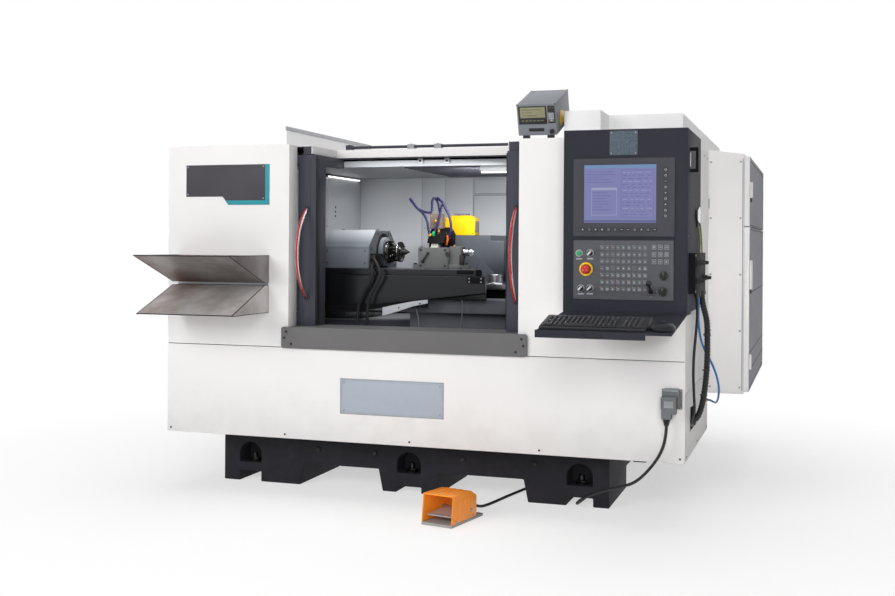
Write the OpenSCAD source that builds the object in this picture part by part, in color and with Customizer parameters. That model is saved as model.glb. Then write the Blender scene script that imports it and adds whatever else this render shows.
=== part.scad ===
// Cylindrical grinder in a sheet-metal enclosure.
// Modules work in machine coordinates: X from the enclosure's left side, Y back from its front
// panel, Z up from the floor. at_machine() then puts the origin at the middle of the footprint.

/* [Enclosure] */
// Width of the enclosure
body_w = 2514; // [2480:1:2600]
// Depth of the enclosure
body_d = 2400; // [2300:1:2600]
// Height of the roof above the floor
body_h = 1672; // [1620:1:1780]
// Thickness of the sheet metal
sheet_t = 4; // [3:0.5:5]
// Height of the skirt's lower edge
skirt_z0 = 273; // [200:1:300]
// Height of the skirt's top edge at the front
skirt_front_top = 704.5; // [680:0.5:705]
// Height of the skirt's top edge at the sides
skirt_side_top = 565; // [520:1:580]
// Open seam between the skirt and the panels above it
seam_gap = 3; // [1:0.5:5]
// Width of the left housing beside the doorway
left_housing_w = 654; // [640:1:660]
// Width of the right housing beside the doorway
right_housing_w = 733; // [725:1:740]
// Distance from the roof opening's side to the housing's edge
roof_inset = 77; // [70:1:90]
// Depth from the front to the roof beam
roof_open_d = 383; // [380:1:388]
// Height of the turned-down edges of the roof
lip_h = 36; // [20:1:40]
// Depth of the roof beam
beam_d = 40; // [30:1:60]

/* [Interior] */
// Distance from the enclosure's left side to the left lining
liner_inset_left = 353; // [340:1:360]
// Distance from the right lining to the enclosure's right side
liner_inset_right = 410; // [400:1:420]
// Drop from the roof to the working area's ceiling
ceiling_drop = 72; // [69:1:74]
// Depth at which the ceiling begins
ceiling_y = 470; // [460:1:500]
// Depth of the working area's rear wall
rear_wall_y = 1600; // [1590:1:1700]
// Thickness of the floor pan
pan_t = 6; // [4:1:8]
// Height of the pan's side walls
pan_rim_h = 114; // [80:1:130]

/* [Bed] */
// Width of the bed casting
bed_w = 1970; // [1900:1:2100]
// Depth of the bed casting
bed_d = 1650; // [1600:1:1750]
// Height of the bed casting's top
bed_top = 640; // [630:1:645]
// Height of the feet
foot_h = 106; // [95:1:120]
// Depth of one row of feet
foot_d = 485; // [400:1:520]
// Height of the table ways
way_top = 930; // [920:1:935]
// Radius of a levelling screw's shank
screw_r = 12; // [8:0.5:16]

/* [Doors] */
// Width of one door
door_w = 572; // [560:1:576]
// Width of the door's closing post
post_w = 90; // [70:1:92]
// Depth of the door's closing post
post_d = 115; // [100:1:118]
// Distance from the front panel to the doors
door_y = 91; // [88:1:95]
// Thickness of the door frame behind the front panel
door_frame_t = 40; // [30:1:50]
// Drop from the roof to the doors' top face
door_drop = 45; // [43:1:52]
// Height of the sill's top face
sill_top = 804; // [790:1:815]
// How far the left door stands in the doorway when open
left_door_show = 98; // [92:1:100]
// How far the right door stands in the doorway when open
right_door_show = 79; // [70:1:82]
// Span of a door handle
handle_span = 427; // [300:1:500]
// Reach of a door handle
handle_reach = 110; // [80:1:130]
// Radius of a door handle's bar
handle_r = 9; // [6:0.5:12]

/* [Electrical cabinet] */
// Width of the cabinet on the enclosure's right side
cabinet_w = 176; // [150:1:220]
// Depth at which the cabinet begins
cabinet_y = 980; // [950:1:1100]
// Height of the cabinet's floor
cabinet_z0 = 458; // [420:1:470]
// Rise of the cabinet's roof over the enclosure's
cabinet_rise = 15; // [13:1:48]
// Drop of the cabinet's roof towards its doors
cabinet_fall = 25; // [10:1:30]
// Drop from the cabinet's roof to the seam between its doors
cabinet_seam_drop = 389; // [300:1:480]
// Thickness of a cabinet door
cabinet_door_t = 26.7; // [20:0.1:30]

/* [Console] */
// Width of the console
console_w = 520; // [510:1:530]
// Reach of the console past the enclosure's right side
console_overhang = 22; // [10:1:30]
// Reach of the console in front of the front panel
console_proud = 150; // [120:1:180]
// Height of the console
console_h = 767; // [747:1:787]
// Rise of the console's top over the roof
console_rise = 15; // [13:1:60]
// Depth of the keyboard shelf in front of the console
shelf_d = 500; // [450:1:550]
// Fall of the keyboard shelf towards its front
shelf_fall = 47; // [20:1:60]
// Thickness of the console's face plates
plate_t = 6; // [5:0.5:8]

/* [Table] */
// Height of the work axis
axis_z = 1160; // [1157:1:1165]
// Depth of the work axis
axis_y = 565; // [560:1:570]
// Height of the table slide's top
slide_top = 1046; // [1042:1:1048]
// Height of the swivel table's top
table_top = 1078; // [1072:1:1080]

/* [Grinding head] */
// Radius of the grinding wheel
wheel_r = 120; // [100:1:122]
// Depth of the wheel's axis
wheel_y = 925; // [920:1:940]
// Width of the grinding wheel
wheel_w = 40; // [30:1:44]
// Radius of the wheel's shaft
shaft_r = 25; // [20:0.5:30]
// Radial clearance of shafts and knobs in their bores
running_gap = 0.05; // [0.03:0.01:0.08]

/* [Accessories] */
// Width of the steel trays
tray_w = 496; // [440:1:540]
// Reach of the upper tray
upper_tray_reach = 389; // [300:1:400]
// Reach of the lower tray
lower_tray_reach = 360; // [300:1:400]
// Width of the gauge on the roof
gauge_w = 180; // [150:1:200]
// Depth of the gauge
gauge_d = 290; // [250:1:300]
// Height of the gauge's case
gauge_h = 145; // [120:1:150]
// Forward tilt of the gauge in degrees
gauge_tilt = 20; // [18:1:22]
// Width of the foot pedal
pedal_w = 150; // [130:1:170]
// Depth of the foot pedal's guard
pedal_d = 220; // [200:1:230]
// Height of the foot pedal's guard
pedal_h = 134; // [125:1:140]
// Diameter of the pedal's cable
cable_d = 13; // [10:1:14]

/* [Hidden] */

$fn = 48;
rest_gap = 0.3;      // gap between surfaces that slide over each other
slide_gap = 0.5;     // gap between a door and its rails
eps = 0.01;          // overlap that joins solids of one piece
cut = 1;             // how far a cutter passes a face

panel_color = "whitesmoke";
frame_color = "dimgray";
dark_color = "darkslategray";
steel_color = "silver";

// Enclosure
doorway_x0 = left_housing_w;
doorway_x1 = body_w - right_housing_w;
roof_x0 = doorway_x0 + roof_inset;
roof_x1 = doorway_x1 - roof_inset + 1;
housing_front_z0 = skirt_front_top + seam_gap;
housing_side_z0 = skirt_side_top + seam_gap;
flange_d = door_y - 2;
roof_z0 = body_h - sheet_t;
door_top = body_h - door_drop;
ceiling_z = body_h - ceiling_drop;
skirt_side_d = cabinet_y + 15;
fin_x = 404;
fin_y0 = 472;
fin_y1 = 1640;
cover_x1 = body_w - 61;
cover_step_x = cover_x1 - 341;
cover_x0 = cover_x1 - 508;
cover_y0 = 180;
cover_step_y = 400;
cover_y1 = body_d - 20;
cover_top = body_h + 138;

// Interior
liner_x0 = liner_inset_left;
liner_x1 = body_w - liner_inset_right;
liner_y0 = 212;
pan_top = bed_top + pan_t;

// Bed, placed under the middle of the doorway
bed_x0 = 179;
bed_x1 = bed_x0 + bed_w;
bed_y0 = 250;
bed_y1 = bed_y0 + bed_d;
pocket_r = 60;
pocket_z0 = 95;
pocket_d = 110;
screw_inset = 55;
screw_fit = 0.1;
// Each foot: offset in X, width, notch offset, notch width, notch height, left and right flare
feet = [
    [0, 423, 89, 117, 50, 0, 25],
    [bed_w / 2 - 122, 283, 71, 127, 30, 22, 0],
    [bed_w - 381, 381, 182, 124, 40, 22, 0],
];
ways_x0 = 380;
ways_x1 = 1780;
ways_y0 = 430;
ways_y1 = 600;
pedestal_y0 = 520;
rail_z0 = 860;
cross_x0 = 1250;
cross_x1 = 1550;
cross_y0 = 800;
cross_y1 = 1500;
cross_top = 900;

// Doors: u runs from a door's hidden edge to its closing edge
door_z0 = sill_top + slide_gap;
door_bar_h = 44;
door_bottom_h = 55.5;
door_edge_w = 60;
glass_t = 4;
glass_y = door_y + 17;
leaf_y1 = 430;
leaf_t = 6;
leaf_bar_h = 22;
leaf_bar_w = 30;
arm_w = 40;
left_door_x0 = doorway_x0 + left_door_show - door_w;
right_door_x1 = doorway_x1 - right_door_show + door_w;
handle_z = sill_top + 351;
handle_u = door_w - 45;
// The bow passes through its two ends and its reach
bow_r = (pow(handle_span / 2, 2) + pow(handle_reach, 2)) / (2 * handle_reach);

// Electrical cabinet
cabinet_x1 = body_w + cabinet_w;
cabinet_top = body_h + cabinet_rise;
cabinet_seam_z = cabinet_top - cabinet_seam_drop;
cabinet_door_gap = 1;
cabinet_door_x0 = cabinet_x1 + cabinet_door_gap;
cabinet_door_x1 = cabinet_door_x0 + cabinet_door_t + rest_gap;
cabinet_low = cabinet_top - cabinet_fall;
hinge_r = 8;
hinge_pin_r = 3;
hinge_x = cabinet_door_x1 - hinge_r;
hinge_y = body_d - hinge_r;
knuckle_h = 60;
cabinet_door_y0 = cabinet_y + 2;
lower_door_z0 = cabinet_z0 + 12;
lower_door_z1 = cabinet_seam_z - 2;
upper_door_z0 = cabinet_seam_z + 2;
upper_door_z1 = cabinet_low - 12;
upper_handle_z = [cabinet_seam_z + 141, cabinet_seam_z + 232];
lower_handle_z = [cabinet_seam_z - 321, cabinet_seam_z - 163];

// Console
console_x1 = body_w + console_overhang;
console_x0 = console_x1 - console_w;
console_top = body_h + console_rise;
console_z0 = console_top - console_h;
port_z0 = console_z0 + 80;
console_deep_x = console_x1 - 236;
console_back = 85;
console_deep_back = 380;
face_y = -console_proud;
plate_y = face_y - plate_t;
key_h = 2;
panel_x0 = console_x0 + 46;
panel_x1 = console_x1 - 55;
panel_z0 = console_z0 + 53;
panel_z1 = console_z0 + 301;
bezel_x0 = console_x0 + 44;
bezel_x1 = console_x1 - 52;
bezel_z0 = console_z0 + 318;
bezel_z1 = console_z0 + 645;
screen_x0 = console_x0 + 89;
screen_x1 = console_x0 + 392;
screen_z0 = console_z0 + 375;
screen_z1 = console_z0 + 618;
// Controls on the panel: X and Z from the console's lower left corner
green_at = [70, 246];
knob_at = [[117, 247], [78, 98], [117, 99]];
estop_at = [100, 179];
jog_at = [374, 89];
override_at = [[426, 156], [422, 90]];
// Main switch on the console's side
switch_y = 175;
switch_z = console_z0 + 415;
control_shaft_r = 4;
jog_out = 10;
jog_ball_r = 9.5;
jog_pin_r = 2.5;
estop_travel = 5;
button_travel = 3;

// Keyboard shelf
shelf_top = console_z0 - 3;
shelf_t = 6;
shelf_y0 = face_y - shelf_d;
shelf_slope = atan(shelf_fall / shelf_d);
shelf_front_top = shelf_top - shelf_fall;
lip_t = 2;

// Table
slide_y0 = 330;
carriage_y0 = 360;
carriage_y1 = 640;
slide_x0 = 420;
slide_x1 = 1530;
table_taper = 96;
table_x0 = 460;
table_x1 = 1505;
table_y0 = 340;
table_y1 = 640;
table_pivot = [(table_x0 + table_x1) / 2, (table_y0 + table_y1) / 2];
pivot_r = 25;
pivot_h = 18;
workhead_x0 = 470;
workhead_x1 = 915;
workhead_y0 = 366;
workhead_y1 = 764;
workhead_top = 1272;
nose_l = 20;
chuck_shaft_r = 20;
tail_x0 = 1127;
tail_x1 = 1345;
tail_front_y = axis_y - 60;
lever_x = tail_x0 + 26;
lever_z = table_top + 36;
barrel_r = 18;
barrel_x0 = tail_x0 + 2;
barrel_x1 = 1403;

// Grinding head
head_pivot = [1400, 1150];
head_slide_z0 = cross_top + rest_gap;
head_slide_top = 960;
head_z0 = 1000;
head_top = 1250;
head_x0 = 1208;
guard_x0 = 1071;
guard_x1 = 1161;
guard_t = 8;
guard_gap = 4;
guard_r = wheel_r + guard_gap + guard_t;
manifold_top = 1362;
motor_y0 = 1065;
wheel_x = (guard_x0 + guard_x1) / 2 - wheel_w / 2 - 6;

// Gauge
gauge_x = cover_x0 - 203;
gauge_y = 140;
gauge_z = body_h + 26;
bail_r = 5;

// Pedal
pedal_at = [1535, -215];
pedal_turn = -12;
pedal_base_h = 12;
pedal_wall = 5;
treadle_pin_r = 4;
treadle_pin_z = 46;
treadle_pin_y = 62;

// Footprint, from which the origin is worked out
reach_front = -shelf_y0 + lip_t;
origin = [cabinet_door_x1 / 2, (body_d - reach_front) / 2, 0];

// Route of the pedal's cable, from the plug down to the floor and on to the pedal
cable_route = [
    [body_w - 70, -61, 440], [body_w - 73, -62, 400], [body_w - 84, -61, 350],
    [2400, -45, 290], [2345, -15, 220], [2290, 25, 172], [2220, 65, 140], [2150, 110, 112],
    [2080, 150, 78], [2030, 185, 45], [2005, 230, 20], [1998, 290, 8], [2005, 370, 8],
    [2010, 460, 8], [2012, 560, 8], [2010, 660, 8], [1988, 752, 8], [1930, 806, 8],
    [1850, 812, 8], [1778, 766, 8], [1732, 686, 8], [1710, 590, 8], [1690, 490, 8],
    [1668, 390, 8], [1648, 290, 8], [1630, 190, 8], [1612, 110, 8], [1600, 56, 12],
    [1588, 10, 24], [1577, -30, 37], [1566, -68, 43], [1561, -92, 44], [1556, -115, 44],
];
// Routes on the right side are written from that side
function from_side(points) = [for (p = points) p + [body_w, 0, 0]];
// Route of the conduit from the console's port box into the skirt
conduit_route = from_side([
    [36, 300, port_z0], [42, 306, 940], [58, 325, 860], [60, 335, 760], [58, 340, 660],
    [52, 330, 570], [42, 300, 490], [26, 282, 440], [4, 274, 418], [-18, 272, 410],
]);
conduit_d = 28;
// Route of the thin cable beside the conduit
side_cable_route = from_side([
    [36, 90, port_z0], [40, 84, 920], [38, 60, 830], [32, 40, 740], [30, 36, 650], [31, 60, 560],
    [28, 110, 490], [16, 160, 450], [2, 215, 420], [-18, 232, 408],
]);
side_cable_d = 12;
// Route of the air tube
air_route = from_side([
    [36, 180, port_z0], [52, 198, 900], [78, 240, 800], [92, 300, 700], [101, 380, 610],
    [98, 450, 540], [86, 540, 480], [70, 660, 446], [54, 780, 438], [26, 850, 438], [0, 868, 438],
]);
air_d = 10;
// Hoses inside: each route starts at its nozzle or fitting
hose_left_route = [
    [976, 822, 1430], [1008, 822, 1392], [1040, 824, 1364], [1062, 826, 1322], [1070, 828, 1276],
    [1078, 832, 1234],
];
hose_loop_route = [
    [1012, 836, 1386], [1046, 838, 1372], [1080, 842, 1372], [1082, 846, 1400], [1082, 850, 1432],
    [1092, 854, 1447], [1106, 857, 1434], [1116, 862, 1400], [1120, 870, 1362],
];
hose_right_route = [
    [1124, 836, 1440], [1144, 834, 1424], [1164, 832, 1390], [1184, 830, 1352], [1194, 830, 1306],
    [1190, 832, 1264], [1176, 836, 1228],
];
hose_mid_route = [
    [1140, 842, 1412], [1132, 840, 1370], [1120, 834, 1318], [1106, 826, 1272], [1100, 820, 1250],
];
hose_r = 7;

module at_machine() translate(-origin) children();

// Box between two opposite corners
module box(low, high) translate(low) cube(high - low);

// Outline in Y and Z, extruded along X
module along_x(x0, x1) translate([x0, 0, 0]) rotate([90, 0, 90]) linear_extrude(x1 - x0) children();

// Outline in X and Z, extruded along Y
module along_y(y0, y1) translate([0, y1, 0]) rotate([90, 0, 0]) linear_extrude(y1 - y0) children();

// Cylinders with their axis along X or Y
module rod_x(x0, x1, r) translate([x0, 0, 0]) rotate([0, 90, 0]) cylinder(h = x1 - x0, r = r);
module rod_y(y0, y1, r) translate([0, y1, 0]) rotate([90, 0, 0]) cylinder(h = y1 - y0, r = r);

// Rectangle with round corners, from its lower left corner
module round_rect(w, h, r) {
    translate([r, 0]) square([w - 2 * r, h]);
    translate([0, r]) square([w, h - 2 * r]);
    for (x = [r, w - r], y = [r, h - r]) translate([x, y]) circle(r);
}

// Frame for sweeping: a unit vector, and the ring of points around one route point
function unit(v) = v / norm(v);
function tangent(p, i) = unit(p[min(i + 1, len(p) - 1)] - p[max(i - 1, 0)]);
function side_of(t) = abs(t.z) > 0.9 ? unit(cross(t, [0, 1, 0])) : unit(cross(t, [0, 0, 1]));
function carried(p, i) = i == 0 ? side_of(tangent(p, 0)) : turned(carried(p, i - 1), tangent(p, i));
function turned(s, t) = unit(s - (s * t) * t);
function ring(p, i, r, n) =
    let (t = tangent(p, i), a = carried(p, i), b = cross(t, a))
    [for (k = [0:n - 1]) p[i] + r * (cos(360 * k / n) * a + sin(360 * k / n) * b)];

// Points between the route's points, on a smooth curve through them
function curve_point(p, i, f) =
    let (a = p[max(i - 1, 0)], b = p[i], c = p[i + 1], d = p[min(i + 2, len(p) - 1)])
    0.5 * (2 * b + (c - a) * f + (2 * a - 5 * b + 4 * c - d) * f * f
        + (3 * b - a - 3 * c + d) * f * f * f);
function smooth_route(p, steps) = [
    for (i = [0:len(p) - 2], s = [0:steps - 1]) curve_point(p, i, s / steps),
    p[len(p) - 1],
];

// Round tube along a route
module tube(route, d, steps, sides) {
    p = smooth_route(route, steps);
    last = len(p) - 1;
    points = [for (i = [0:last]) each ring(p, i, d / 2, sides)];
    walls = [
        for (i = [0:last - 1], k = [0:sides - 1])
            let (a = i * sides + k, b = i * sides + (k + 1) % sides)
            each [[a, b, a + sides], [b, b + sides, a + sides]],
    ];
    start_cap = [for (k = [sides - 1:-1:0]) k];
    end_cap = [for (k = [0:sides - 1]) last * sides + k];
    polyhedron(points, concat(walls, [start_cap, end_cap]), convexity = 10);
}

// ---- Bed ----

// One foot with its notch, seen from the front
module foot_outline(f) {
    difference() {
        polygon([[0, 0], [f[1], 0], [f[1] + f[6], foot_h], [-f[5], foot_h]]);
        translate([f[2], -cut]) square([f[3], f[4] + cut]);
    }
}

// Round-topped pocket above a foot's notch, with the bore for the levelling screw
module pocket_cut(f) {
    translate([f[2] + f[3] / 2, 0, 0]) {
        translate([-pocket_r, -cut, pocket_z0]) cube([2 * pocket_r, pocket_d + cut, pocket_r * 2 / 3]);
        intersection() {
            translate([0, 0, pocket_z0 + pocket_r * 2 / 3]) rod_y(-cut, pocket_d, pocket_r);
            box([-pocket_r, -cut, pocket_z0], [pocket_r, pocket_d, pocket_z0 + 2 * pocket_r]);
        }
        translate([0, screw_inset, 0]) cylinder(h = pocket_z0 + cut, r = screw_r + screw_fit);
    }
}

module screw(f) {
    head_h = 16;
    translate([f[2] + f[3] / 2, screw_inset, 0]) {
        translate([0, 0, f[4] + 2]) cylinder(h = pocket_z0 - f[4] - 2 + eps, r = screw_r);
        translate([0, 0, pocket_z0]) cylinder(h = head_h, r = screw_r * 1.6, $fn = 6);
        translate([0, 0, pocket_z0 + head_h - eps]) cylinder(h = 24, r = screw_r);
    }
}

// Puts its children at every foot of the front row and, turned round, of the rear row
module at_feet() {
    for (i = [0:len(feet) - 1]) {
        translate([bed_x0 + feet[i][0], bed_y0, 0]) {
            $foot = feet[i];
            children();
        }
        translate([bed_x0 + feet[i][0], bed_y1, 0]) mirror([0, 1, 0]) {
            $foot = feet[i];
            children();
        }
    }
}

module machine_bed() at_machine() color(dark_color) difference() {
    union() {
        box([bed_x0, bed_y0, foot_h], [bed_x1, bed_y1, bed_top]);
        at_feet() along_y(0, foot_d) foot_outline($foot);
        box([ways_x0, pedestal_y0, bed_top - eps], [ways_x1, ways_y1, way_top]);
        box([ways_x0, ways_y0, rail_z0], [ways_x1, ways_y1, way_top]);
        box([cross_x0, cross_y0, bed_top - eps], [cross_x1, cross_y1, cross_top]);
    }
    at_feet() pocket_cut($foot);
}

module levelling_screws() at_machine() color(steel_color) at_feet() screw($foot);

// ---- Enclosure ----

module lower_skirt() at_machine() color(panel_color) {
    lip = 20;
    opening = [[207, 381], [207, 486], [465, 470], [465, 375]];
    box([0, 0, skirt_z0], [body_w, sheet_t, skirt_front_top]);
    box([0, sheet_t - eps, skirt_z0], [sheet_t, skirt_side_d, skirt_side_top]);
    difference() {
        box([body_w - sheet_t, sheet_t - eps, skirt_z0], [body_w, skirt_side_d, skirt_side_top]);
        along_x(body_w - sheet_t - cut, body_w + cut) polygon(opening);
    }
    box([sheet_t - eps, sheet_t - eps, skirt_z0],
        [body_w - sheet_t + eps, sheet_t + lip, skirt_z0 + sheet_t]);
    for (x = [sheet_t - eps, body_w - sheet_t - lip])
        box([x, sheet_t, skirt_z0], [x + lip, skirt_side_d, skirt_z0 + sheet_t]);
}

module left_housing() at_machine() color(panel_color) {
    box([0, 0, housing_front_z0], [doorway_x0, sheet_t, body_h]);
    box([doorway_x0 - sheet_t, 0, housing_front_z0], [doorway_x0, flange_d, body_h]);
    box([0, sheet_t, housing_side_z0], [sheet_t, body_d, body_h]);
    box([0, 0, roof_z0], [doorway_x0, door_y, body_h]);
    box([0, door_y - eps, roof_z0], [roof_x0, body_d, body_h]);
    box([roof_x0 - sheet_t, door_y, body_h - lip_h - sheet_t], [roof_x0, roof_open_d, body_h]);
}

// Recess that holds the console, open at the front, the side and the top
module console_recess() {
    far = 2 * body_w;
    box([console_x0, -cut, console_z0], [far, console_back, far]);
    box([console_deep_x, -cut, console_z0], [far, console_deep_back, far]);
}

// The recess with walls of sheet round it
module recess_walls() difference() {
    union() {
        box([console_x0 - sheet_t, 0, console_z0 - sheet_t], [body_w, console_back + sheet_t, body_h]);
        box([console_deep_x - sheet_t, 0, console_z0 - sheet_t],
            [body_w, console_deep_back + sheet_t, body_h]);
    }
    console_recess();
}

module right_housing() at_machine() color(panel_color) {
    difference() {
        union() {
            box([doorway_x1, 0, housing_front_z0], [body_w, sheet_t, body_h]);
            box([doorway_x1, 0, housing_front_z0], [doorway_x1 + sheet_t, flange_d, body_h]);
            box([body_w - sheet_t, sheet_t, housing_side_z0], [body_w, body_d, body_h]);
            box([doorway_x1, 0, roof_z0], [body_w, door_y, body_h]);
            box([roof_x1, door_y - eps, roof_z0], [body_w, body_d, body_h]);
        }
        console_recess();
    }
    recess_walls();
    box([roof_x1, door_y, body_h - lip_h - sheet_t], [roof_x1 + sheet_t, roof_open_d, body_h]);
}

module roof_panel() at_machine() {
    beam_y1 = roof_open_d + beam_d;
    beam_z0 = body_h - lip_h - sheet_t;
    guide_w = 43;
    rail_r = 6;
    rail_z = body_h + 14;
    rail_x0 = roof_x0 + guide_w;
    rail_x1 = roof_x1 + 15;
    clamp_w = 30;
    clamp_y0 = roof_open_d + 13;
    clamp_y1 = clamp_y0 + 42;
    stud_w = 36;
    stud_x = [roof_x0 + 374, roof_x0 + 514];
    color(panel_color) {
        box([roof_x0, roof_open_d, roof_z0], [roof_x1, body_d, body_h]);
        box([sheet_t, roof_open_d, beam_z0], [console_deep_x - 2 * sheet_t, beam_y1, roof_z0]);
        box([roof_x0, roof_open_d, beam_z0], [roof_x1, beam_y1, roof_z0 + eps]);
    }
    color(frame_color) {
        // Rail that guides the doors' rear edges
        box([left_door_x0 + 10, roof_open_d + 12, door_top + slide_gap],
            [right_door_x1 + 16, beam_y1 + 2, beam_z0 + eps]);
        // Guide blocks over the doors' top bars
        for (x = [roof_x0 - guide_w - 5, roof_x1 + 5])
            box([x, door_y + 4, door_top + slide_gap], [x + guide_w, door_y + 39, body_h - sheet_t]);
        // Double rail along the opening's edge, on its end clamps
        for (y = [clamp_y0 + 8, clamp_y1 - 8])
            translate([0, y, rail_z]) rod_x(rail_x0, rail_x1, rail_r);
        for (x = [rail_x0, rail_x1 - clamp_w])
            box([x, clamp_y0, body_h], [x + clamp_w, clamp_y1, rail_z + 2 * rail_r]);
    }
    color(steel_color)
        for (x = stud_x)
            box([x, clamp_y0, body_h], [x + stud_w, clamp_y1, rail_z + 10]);
}

module roof_covers() at_machine() color(panel_color) {
    box([fin_x, fin_y0, body_h], [fin_x + sheet_t, fin_y1, cover_top]);
    box([cover_x0, cover_y0, body_h], [cover_step_x, cover_y1, cover_top]);
    box([cover_step_x - eps, cover_step_y, body_h], [cover_x1, cover_y1, cover_top]);
}

module inner_panels() at_machine() color("gainsboro") {
    front_band = 20;
    rear_y = body_d - sheet_t;
    for (x = [liner_x0, liner_x1 - sheet_t])
        box([x, liner_y0, pan_top], [x + sheet_t, rear_wall_y + eps, ceiling_z + eps]);
    box([liner_x0, rear_wall_y, pan_top], [liner_x1, rear_wall_y + sheet_t, ceiling_z + eps]);
    box([liner_x0, ceiling_y, ceiling_z], [liner_x1, rear_wall_y + sheet_t, ceiling_z + sheet_t]);
    box([liner_x0, ceiling_y - front_band, ceiling_z - 10], [liner_x1, ceiling_y + eps, ceiling_z + 20]);
    // Panel that closes the back of the enclosure
    box([sheet_t, rear_y, pan_top], [body_w - sheet_t, body_d, roof_z0]);
}

module floor_pan() at_machine() color("lightgray") {
    rim_t = 3;
    apron_top = rail_z0 - 10;
    apron_y0 = 413;
    apron_r = 300;
    arc_x = 850;
    difference() {
        box([sheet_t, sheet_t, bed_top], [body_w - sheet_t, body_d - sheet_t, pan_top]);
        box([ways_x0, pedestal_y0, bed_top - cut], [ways_x1, ways_y1, pan_top + cut]);
        box([cross_x0, cross_y0, bed_top - cut], [cross_x1, cross_y1, pan_top + cut]);
    }
    box([sheet_t, sheet_t, pan_top - eps], [body_w - sheet_t, sheet_t + rim_t, skirt_front_top]);
    for (x = [sheet_t, body_w - sheet_t - rim_t])
        box([x, sheet_t, pan_top - eps], [x + rim_t, body_d - sheet_t, pan_top + pan_rim_h]);
    // Apron in front of the ways, with a round right end
    difference() {
        union() {
            translate([arc_x, apron_y0 + apron_r, pan_top - eps])
                cylinder(h = apron_top - pan_top, r = apron_r, $fn = 96);
            box([ways_x0, apron_y0, pan_top - eps], [arc_x, pedestal_y0, apron_top - eps]);
        }
        translate([arc_x, apron_y0 + apron_r, pan_top - cut])
            cylinder(h = apron_top - pan_top + cut - sheet_t, r = apron_r - sheet_t, $fn = 96);
        box([ways_x0 + sheet_t, apron_y0 + sheet_t, pan_top - cut], [arc_x, body_d, apron_top - sheet_t]);
        box([0, pedestal_y0, 0], [body_w, body_d, body_h]);
    }
}

module door_sill() at_machine() color(frame_color) {
    sill_x0 = doorway_x0 - 30;
    sill_x1 = doorway_x1 + 44;
    sill_y0 = -15;
    sill_y1 = liner_y0 + 3;
    sill_t = 6;
    corner_r = 12;
    along_y(sill_y0, 0) translate([sill_x0, skirt_front_top - 1.5])
        round_rect(sill_x1 - sill_x0, sill_top - skirt_front_top + 1.5, corner_r);
    box([doorway_x0, -eps, sill_top - sill_t], [doorway_x1, sill_y1, sill_top]);
    box([doorway_x0, sill_y1 - sill_t, pan_top], [doorway_x1, sill_y1, sill_top]);
}

// ---- Doors ----

// Places a door drawn along u, closing edge to the right
module at_left_door() at_machine() translate([left_door_x0, 0, 0]) children();
module at_right_door() at_machine() translate([right_door_x1, 0, 0]) mirror([1, 0, 0]) children();

module door_frame() color(frame_color) {
    post_u = door_w - post_w;
    bar_y1 = door_y + door_frame_t;
    box([post_u, door_y, door_z0], [door_w, door_y + post_d, door_top]);
    box([0, door_y, door_z0], [door_edge_w, bar_y1, door_top]);
    box([0, door_y, door_z0], [door_w, bar_y1, door_z0 + door_bottom_h]);
    box([0, door_y, door_top - door_bar_h], [door_w, bar_y1, door_top]);
    // Leaf that closes the roof opening, with its stiffening bars
    box([0, bar_y1 - eps, door_top - leaf_t], [door_w, leaf_y1, door_top]);
    box([0, leaf_y1 - leaf_bar_w, door_top - leaf_bar_h], [door_w, leaf_y1, door_top]);
    box([0, bar_y1 - eps, door_top - leaf_bar_h], [leaf_bar_w, leaf_y1, door_top]);
    box([door_w - arm_w, bar_y1, door_top - door_bar_h], [door_w, leaf_y1, door_top]);
}

module door_window() color("lightblue", 0.3)
    box([door_edge_w, glass_y, door_z0 + door_bottom_h],
        [door_w - post_w, glass_y + glass_t, door_top - door_bar_h]);

// Bow that swings out from the post, cut flat where it meets the post
module bow_handle() color(steel_color) {
    translate([handle_u, 0, handle_z]) {
        difference() {
            translate([0, door_y - handle_reach + bow_r, 0]) rotate([0, 90, 0])
                rotate_extrude($fn = 96) translate([bow_r, 0]) circle(handle_r, $fn = 24);
            box([-post_w, door_y, -body_h], [post_w, body_h, body_h]);
        }
        for (s = [-1, 1])
            translate([0, 0, s * handle_span / 2]) rod_y(door_y - 6, door_y, handle_r * 1.7);
    }
}

module left_door_frame() at_left_door() door_frame();
module left_door_window() at_left_door() door_window();
module left_door_handle() at_left_door() bow_handle();
module right_door_frame() at_right_door() door_frame();
module right_door_window() at_right_door() door_window();
module right_door_handle() at_right_door() bow_handle();

// ---- Electrical cabinet ----

module cabinet_outline(inset) polygon([
    [body_w + inset, cabinet_z0 + inset], [cabinet_x1 - inset, cabinet_z0 + inset],
    [cabinet_x1 - inset, cabinet_low - inset], [body_w + inset, cabinet_top - inset],
]);

// Heights of the hinge knuckles of a door between z0 and z1
function knuckles(z0, z1) = [z0 + 80, z1 - 80 - knuckle_h];

// Cabinet's half of a hinge: a leaf and a knuckle under the door's own, with the pin
module cabinet_knuckle(z) {
    translate([hinge_x, hinge_y, z - knuckle_h / 2]) {
        cylinder(h = knuckle_h / 2 - rest_gap, r = hinge_r);
        cylinder(h = knuckle_h + hinge_r, r = hinge_pin_r);
    }
    box([cabinet_x1 - eps, hinge_y - 1, z - knuckle_h / 2],
        [hinge_x, hinge_y + hinge_r, z - rest_gap]);
}

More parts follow.
